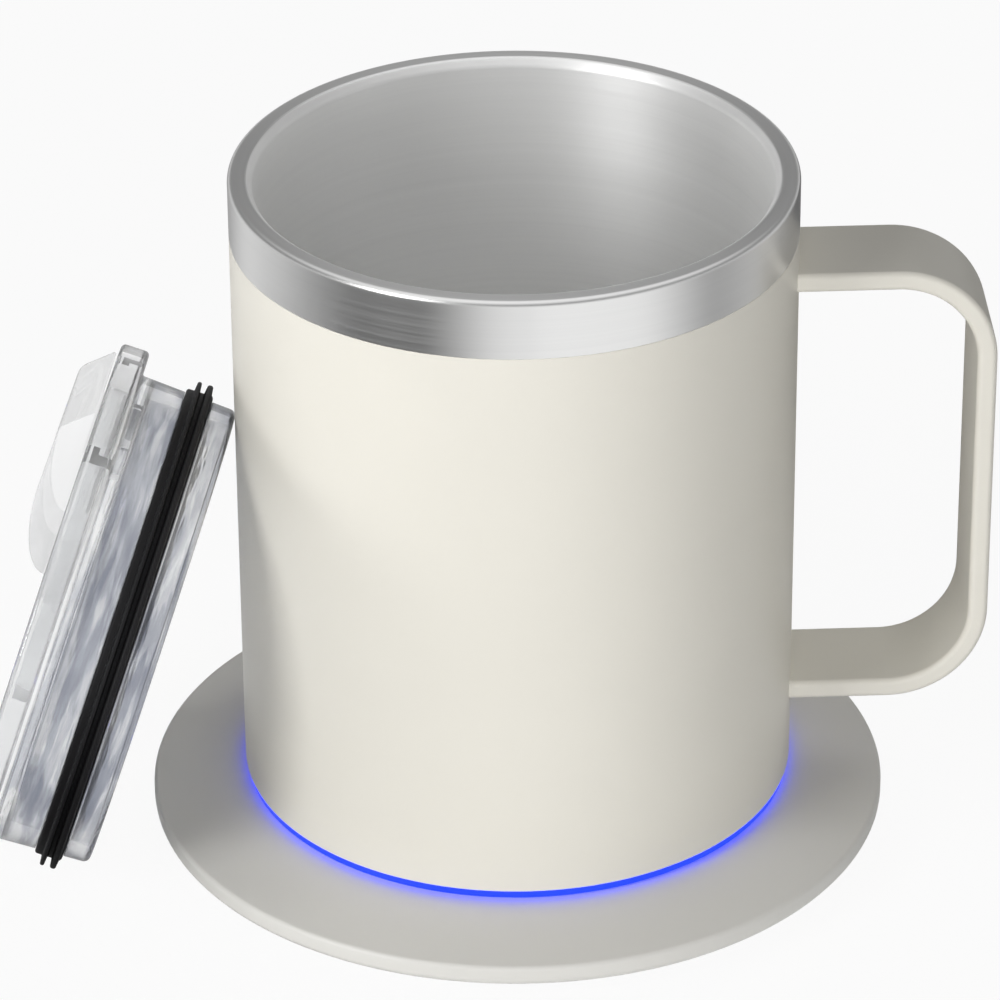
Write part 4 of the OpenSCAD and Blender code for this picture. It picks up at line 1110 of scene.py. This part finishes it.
class FinishSolids(bpy.types.Operator):
    """Gives every solid that still shows its finish"""

    bl_idname = "heated_mug.solids"
    bl_label = "Finishes of the solids"

    def execute(self, context):
        for part in frame["record"]["subparts"]:
            solid = frame["nodes"][part["node"]]
            solid.data.materials.clear()
            solid.data.materials.append(finish(part["material_slot"]))
        return {"FINISHED"}


def aimed(thing, place, target, roll=0.0):
    """Stands a lamp or the camera at a place and points it at a target."""
    turn = (target - place).to_track_quat("-Z", "Y").to_matrix().to_4x4()
    thing.matrix_world = Matrix.Translation(place) @ turn @ Matrix.Rotation(roll, 4, "Z")
    bpy.context.scene.collection.objects.link(thing)


def around(azimuth, elevation, distance, middle):
    """A place round the object: azimuth 0 is the camera's side, and it grows to the right."""
    turn, lift = math.radians(azimuth), math.radians(elevation)
    way = Vector((math.sin(turn) * math.cos(lift), -math.cos(turn) * math.cos(lift), math.sin(lift)))
    return middle + way * distance


class SetStage(bpy.types.Operator):
    """Sets the floor, the background, the lamps and the camera"""

    bl_idname = "heated_mug.stage"
    bl_label = "Stage"

    bounces = 20
    floor_size = 3.0
    paper = (0.9, 0.9, 0.9, 1.0)
    sensor = 36.0
    resting_gap = 1.0 * MM
    thrown_light = 1.5
    sky_through = 0.75
    lamp_distance = 1.2
    lamps = {
        "key": {"azimuth": 6, "elevation": 16, "size": (0.8, 0.6), "energy": 7.0, "shines": False},
        "side": {"azimuth": -50, "elevation": 22, "size": (0.45, 0.45), "energy": 6.0, "shines": True},
        "left": {"azimuth": -98, "elevation": 6, "size": (0.35, 0.2), "energy": 3.4, "shines": False},
        "back": {"azimuth": 140, "elevation": 40, "size": (0.8, 0.8), "energy": 2.2, "shines": False},
        "rear": {"azimuth": 176, "elevation": 0, "size": (0.5, 0.08), "energy": 2.6, "shines": False},
    }
    floor_levels = [(0.0, 0.3), (0.08, 0.32), (0.145, 0.76), (0.225, 0.58), (0.33, 0.03), (0.40, 0.03),
                    (0.47, 0.82), (0.53, 1.0), (0.63, 0.95), (0.71, 0.34), (0.77, 0.5), (0.82, 0.58),
                    (0.87, 0.08), (1.0, 0.2)]
    sky_levels = [(0.0, 0.75), (0.12, 0.7), (0.32, 0.2), (0.55, 0.22), (0.8, 0.8), (1.0, 1.0)]

    def execute(self, context):
        scene = context.scene
        stage = scene.stage_settings
        scene.view_settings.view_transform = "Standard"
        for limit in ("max_bounces", "transmission_bounces", "glossy_bounces"):
            setattr(scene.cycles, limit, self.bounces)
        self.lay_floor(stage)
        scene.world = self.background(stage)

        target = Vector(stage.target)
        for name, lamp in self.lamps.items():
            light = bpy.data.lights.new("lamp_" + name, "AREA")
            light.shape = "RECTANGLE"
            light.size, light.size_y = lamp["size"]
            light.energy = lamp["energy"]
            spot = bpy.data.objects.new("lamp_" + name, light)
            spot.visible_glossy = lamp["shines"]
            spot.visible_transmission = False
            aimed(spot, around(lamp["azimuth"], lamp["elevation"], self.lamp_distance, target), target)

        optics = bpy.data.cameras.new("camera")
        optics.lens = stage.lens
        optics.sensor_width = self.sensor
        camera = bpy.data.objects.new("camera", optics)
        aimed(camera, Vector(stage.camera), target, stage.roll)
        scene.camera = camera
        return {"FINISHED"}

    def lay_floor(self, stage):
        """A white floor, whose mirror image is darker and lighter round the object."""
        bm = bmesh.new()
        bmesh.ops.create_grid(bm, x_segments=1, y_segments=1, size=self.floor_size,
                              matrix=Matrix.Translation((0, 0, cad_box[0][2])))
        floor = made("floor", bm)
        material = bpy.data.materials.new("floor_white")
        material.use_nodes = True
        nodes = Nodes(material.node_tree, "ShaderNodeOutputMaterial")
        camera, glossy, through, thrown = self.rays(nodes)
        plain = (camera + through) > 0.5
        quarter_turn = (0, 0, math.pi / 2)
        place = nodes.node("ShaderNodeMapping", {}, {"Vector": nodes.place(), "Rotation": quarter_turn})
        sweep = nodes.node("ShaderNodeTexGradient", {"gradient_type": "RADIAL"}, {"Vector": place})
        levels = nodes.node("ShaderNodeValToRGB", {"stops": self.floor_levels}, {0: sweep})
        strength = plain + thrown * self.thrown_light + (1.0 - plain) * stage.mirrored * levels
        white = nodes.node("ShaderNodeEmission", {}, {"Strength": strength})
        paper = nodes.node("ShaderNodeBsdfDiffuse", {}, {"Color": self.paper})
        share = plain * stage.floor_white + (1.0 - plain) * glossy
        shown = nodes.node("ShaderNodeMixShader", {}, {0: share, 1: paper, 2: white})

        # The floor doesn't show from below, nor in the faces that rest on it.
        under = nodes.node("ShaderNodeNewGeometry", output="Backfacing")
        resting = 1.0 - (nodes.node("ShaderNodeLightPath", output="Ray Length") > self.resting_gap)
        hidden = (under + glossy * resting) > 0.5
        open_air = nodes.node("ShaderNodeBsdfTransparent")
        nodes.shows(nodes.node("ShaderNodeMixShader", {}, {0: hidden, 1: shown, 2: open_air}))
        floor.data.materials.append(material)

    def background(self, stage):
        """A white background, whose mirror image changes with height."""
        world = bpy.data.worlds.new("studio")
        world.use_nodes = True
        nodes = Nodes(world.node_tree, "ShaderNodeOutputWorld")
        camera, glossy, through, thrown = self.rays(nodes)
        bent = ((glossy + through) > 0.5) - thrown
        way = nodes.node("ShaderNodeTexCoord", output="Generated")
        height = nodes.node("ShaderNodeSeparateXYZ", {}, {0: way}, "Z")
        levels = nodes.node("ShaderNodeValToRGB", {"stops": self.sky_levels}, {0: height})
        seen_through = self.sky_through + (1 - self.sky_through) * levels
        shown = stage.mirrored * levels * (1.0 - through) + seen_through * through
        unseen = bent * shown + (1.0 - bent) * stage.ambient
        strength = camera + (1.0 - camera) * unseen
        white = nodes.node("ShaderNodeBackground", {}, {"Color": (1.0, 1.0, 1.0, 1.0), "Strength": strength})
        nodes.shows(white)
        return world

    @staticmethod
    def rays(nodes):
        """1 on rays from the camera, on those that shine back, on those that pass through a clear
        piece, and on those that pass through one towards a dull surface."""
        camera, glossy, through, scattered = [
            nodes.node("ShaderNodeLightPath", output=name)
            for name in ("Is Camera Ray", "Is Glossy Ray", "Is Transmission Ray", "Diffuse Depth")]
        return camera, glossy, through, through * (scattered > 0.5)


class MugPanel(bpy.types.Panel):
    """Lists the pieces of the mug"""

    bl_idname = "VIEW3D_PT_heated_mug"
    bl_label = "Heated mug"
    bl_space_type = "VIEW_3D"
    bl_region_type = "UI"
    bl_category = "Heated mug"

    def draw(self, context):
        for operator in OPERATORS:
            self.layout.operator(operator.bl_idname)


GROUPS = {"mug_sizes": MugSizes, "coaster_sizes": CoasterSizes, "lid_sizes": LidSizes,
          "mug_colours": MugColours, "stage_settings": StageSettings}
OPERATORS = (FinishSolids, MakeShell, MakeHandle, MakeSteel, MakeLightRing, MakeUnderside, MakeCoaster,
             MakeSprings, MakeLid, MakeSlider, SetStage)


def register():
    for group in GROUPS.values():
        bpy.utils.register_class(group)
    for name, group in GROUPS.items():
        setattr(bpy.types.Scene, name, PointerProperty(type=group))
    for operator in OPERATORS:
        bpy.utils.register_class(operator)
    bpy.utils.register_class(MugPanel)


def unregister():
    bpy.utils.unregister_class(MugPanel)
    for operator in reversed(OPERATORS):
        bpy.utils.unregister_class(operator)
    for name, group in reversed(GROUPS.items()):
        delattr(bpy.types.Scene, name)
        bpy.utils.unregister_class(group)


def main():
    register()
    for operator in OPERATORS:
        family, name = operator.bl_idname.split(".")
        getattr(getattr(bpy.ops, family), name)()


if __name__ == "__main__":
    main()
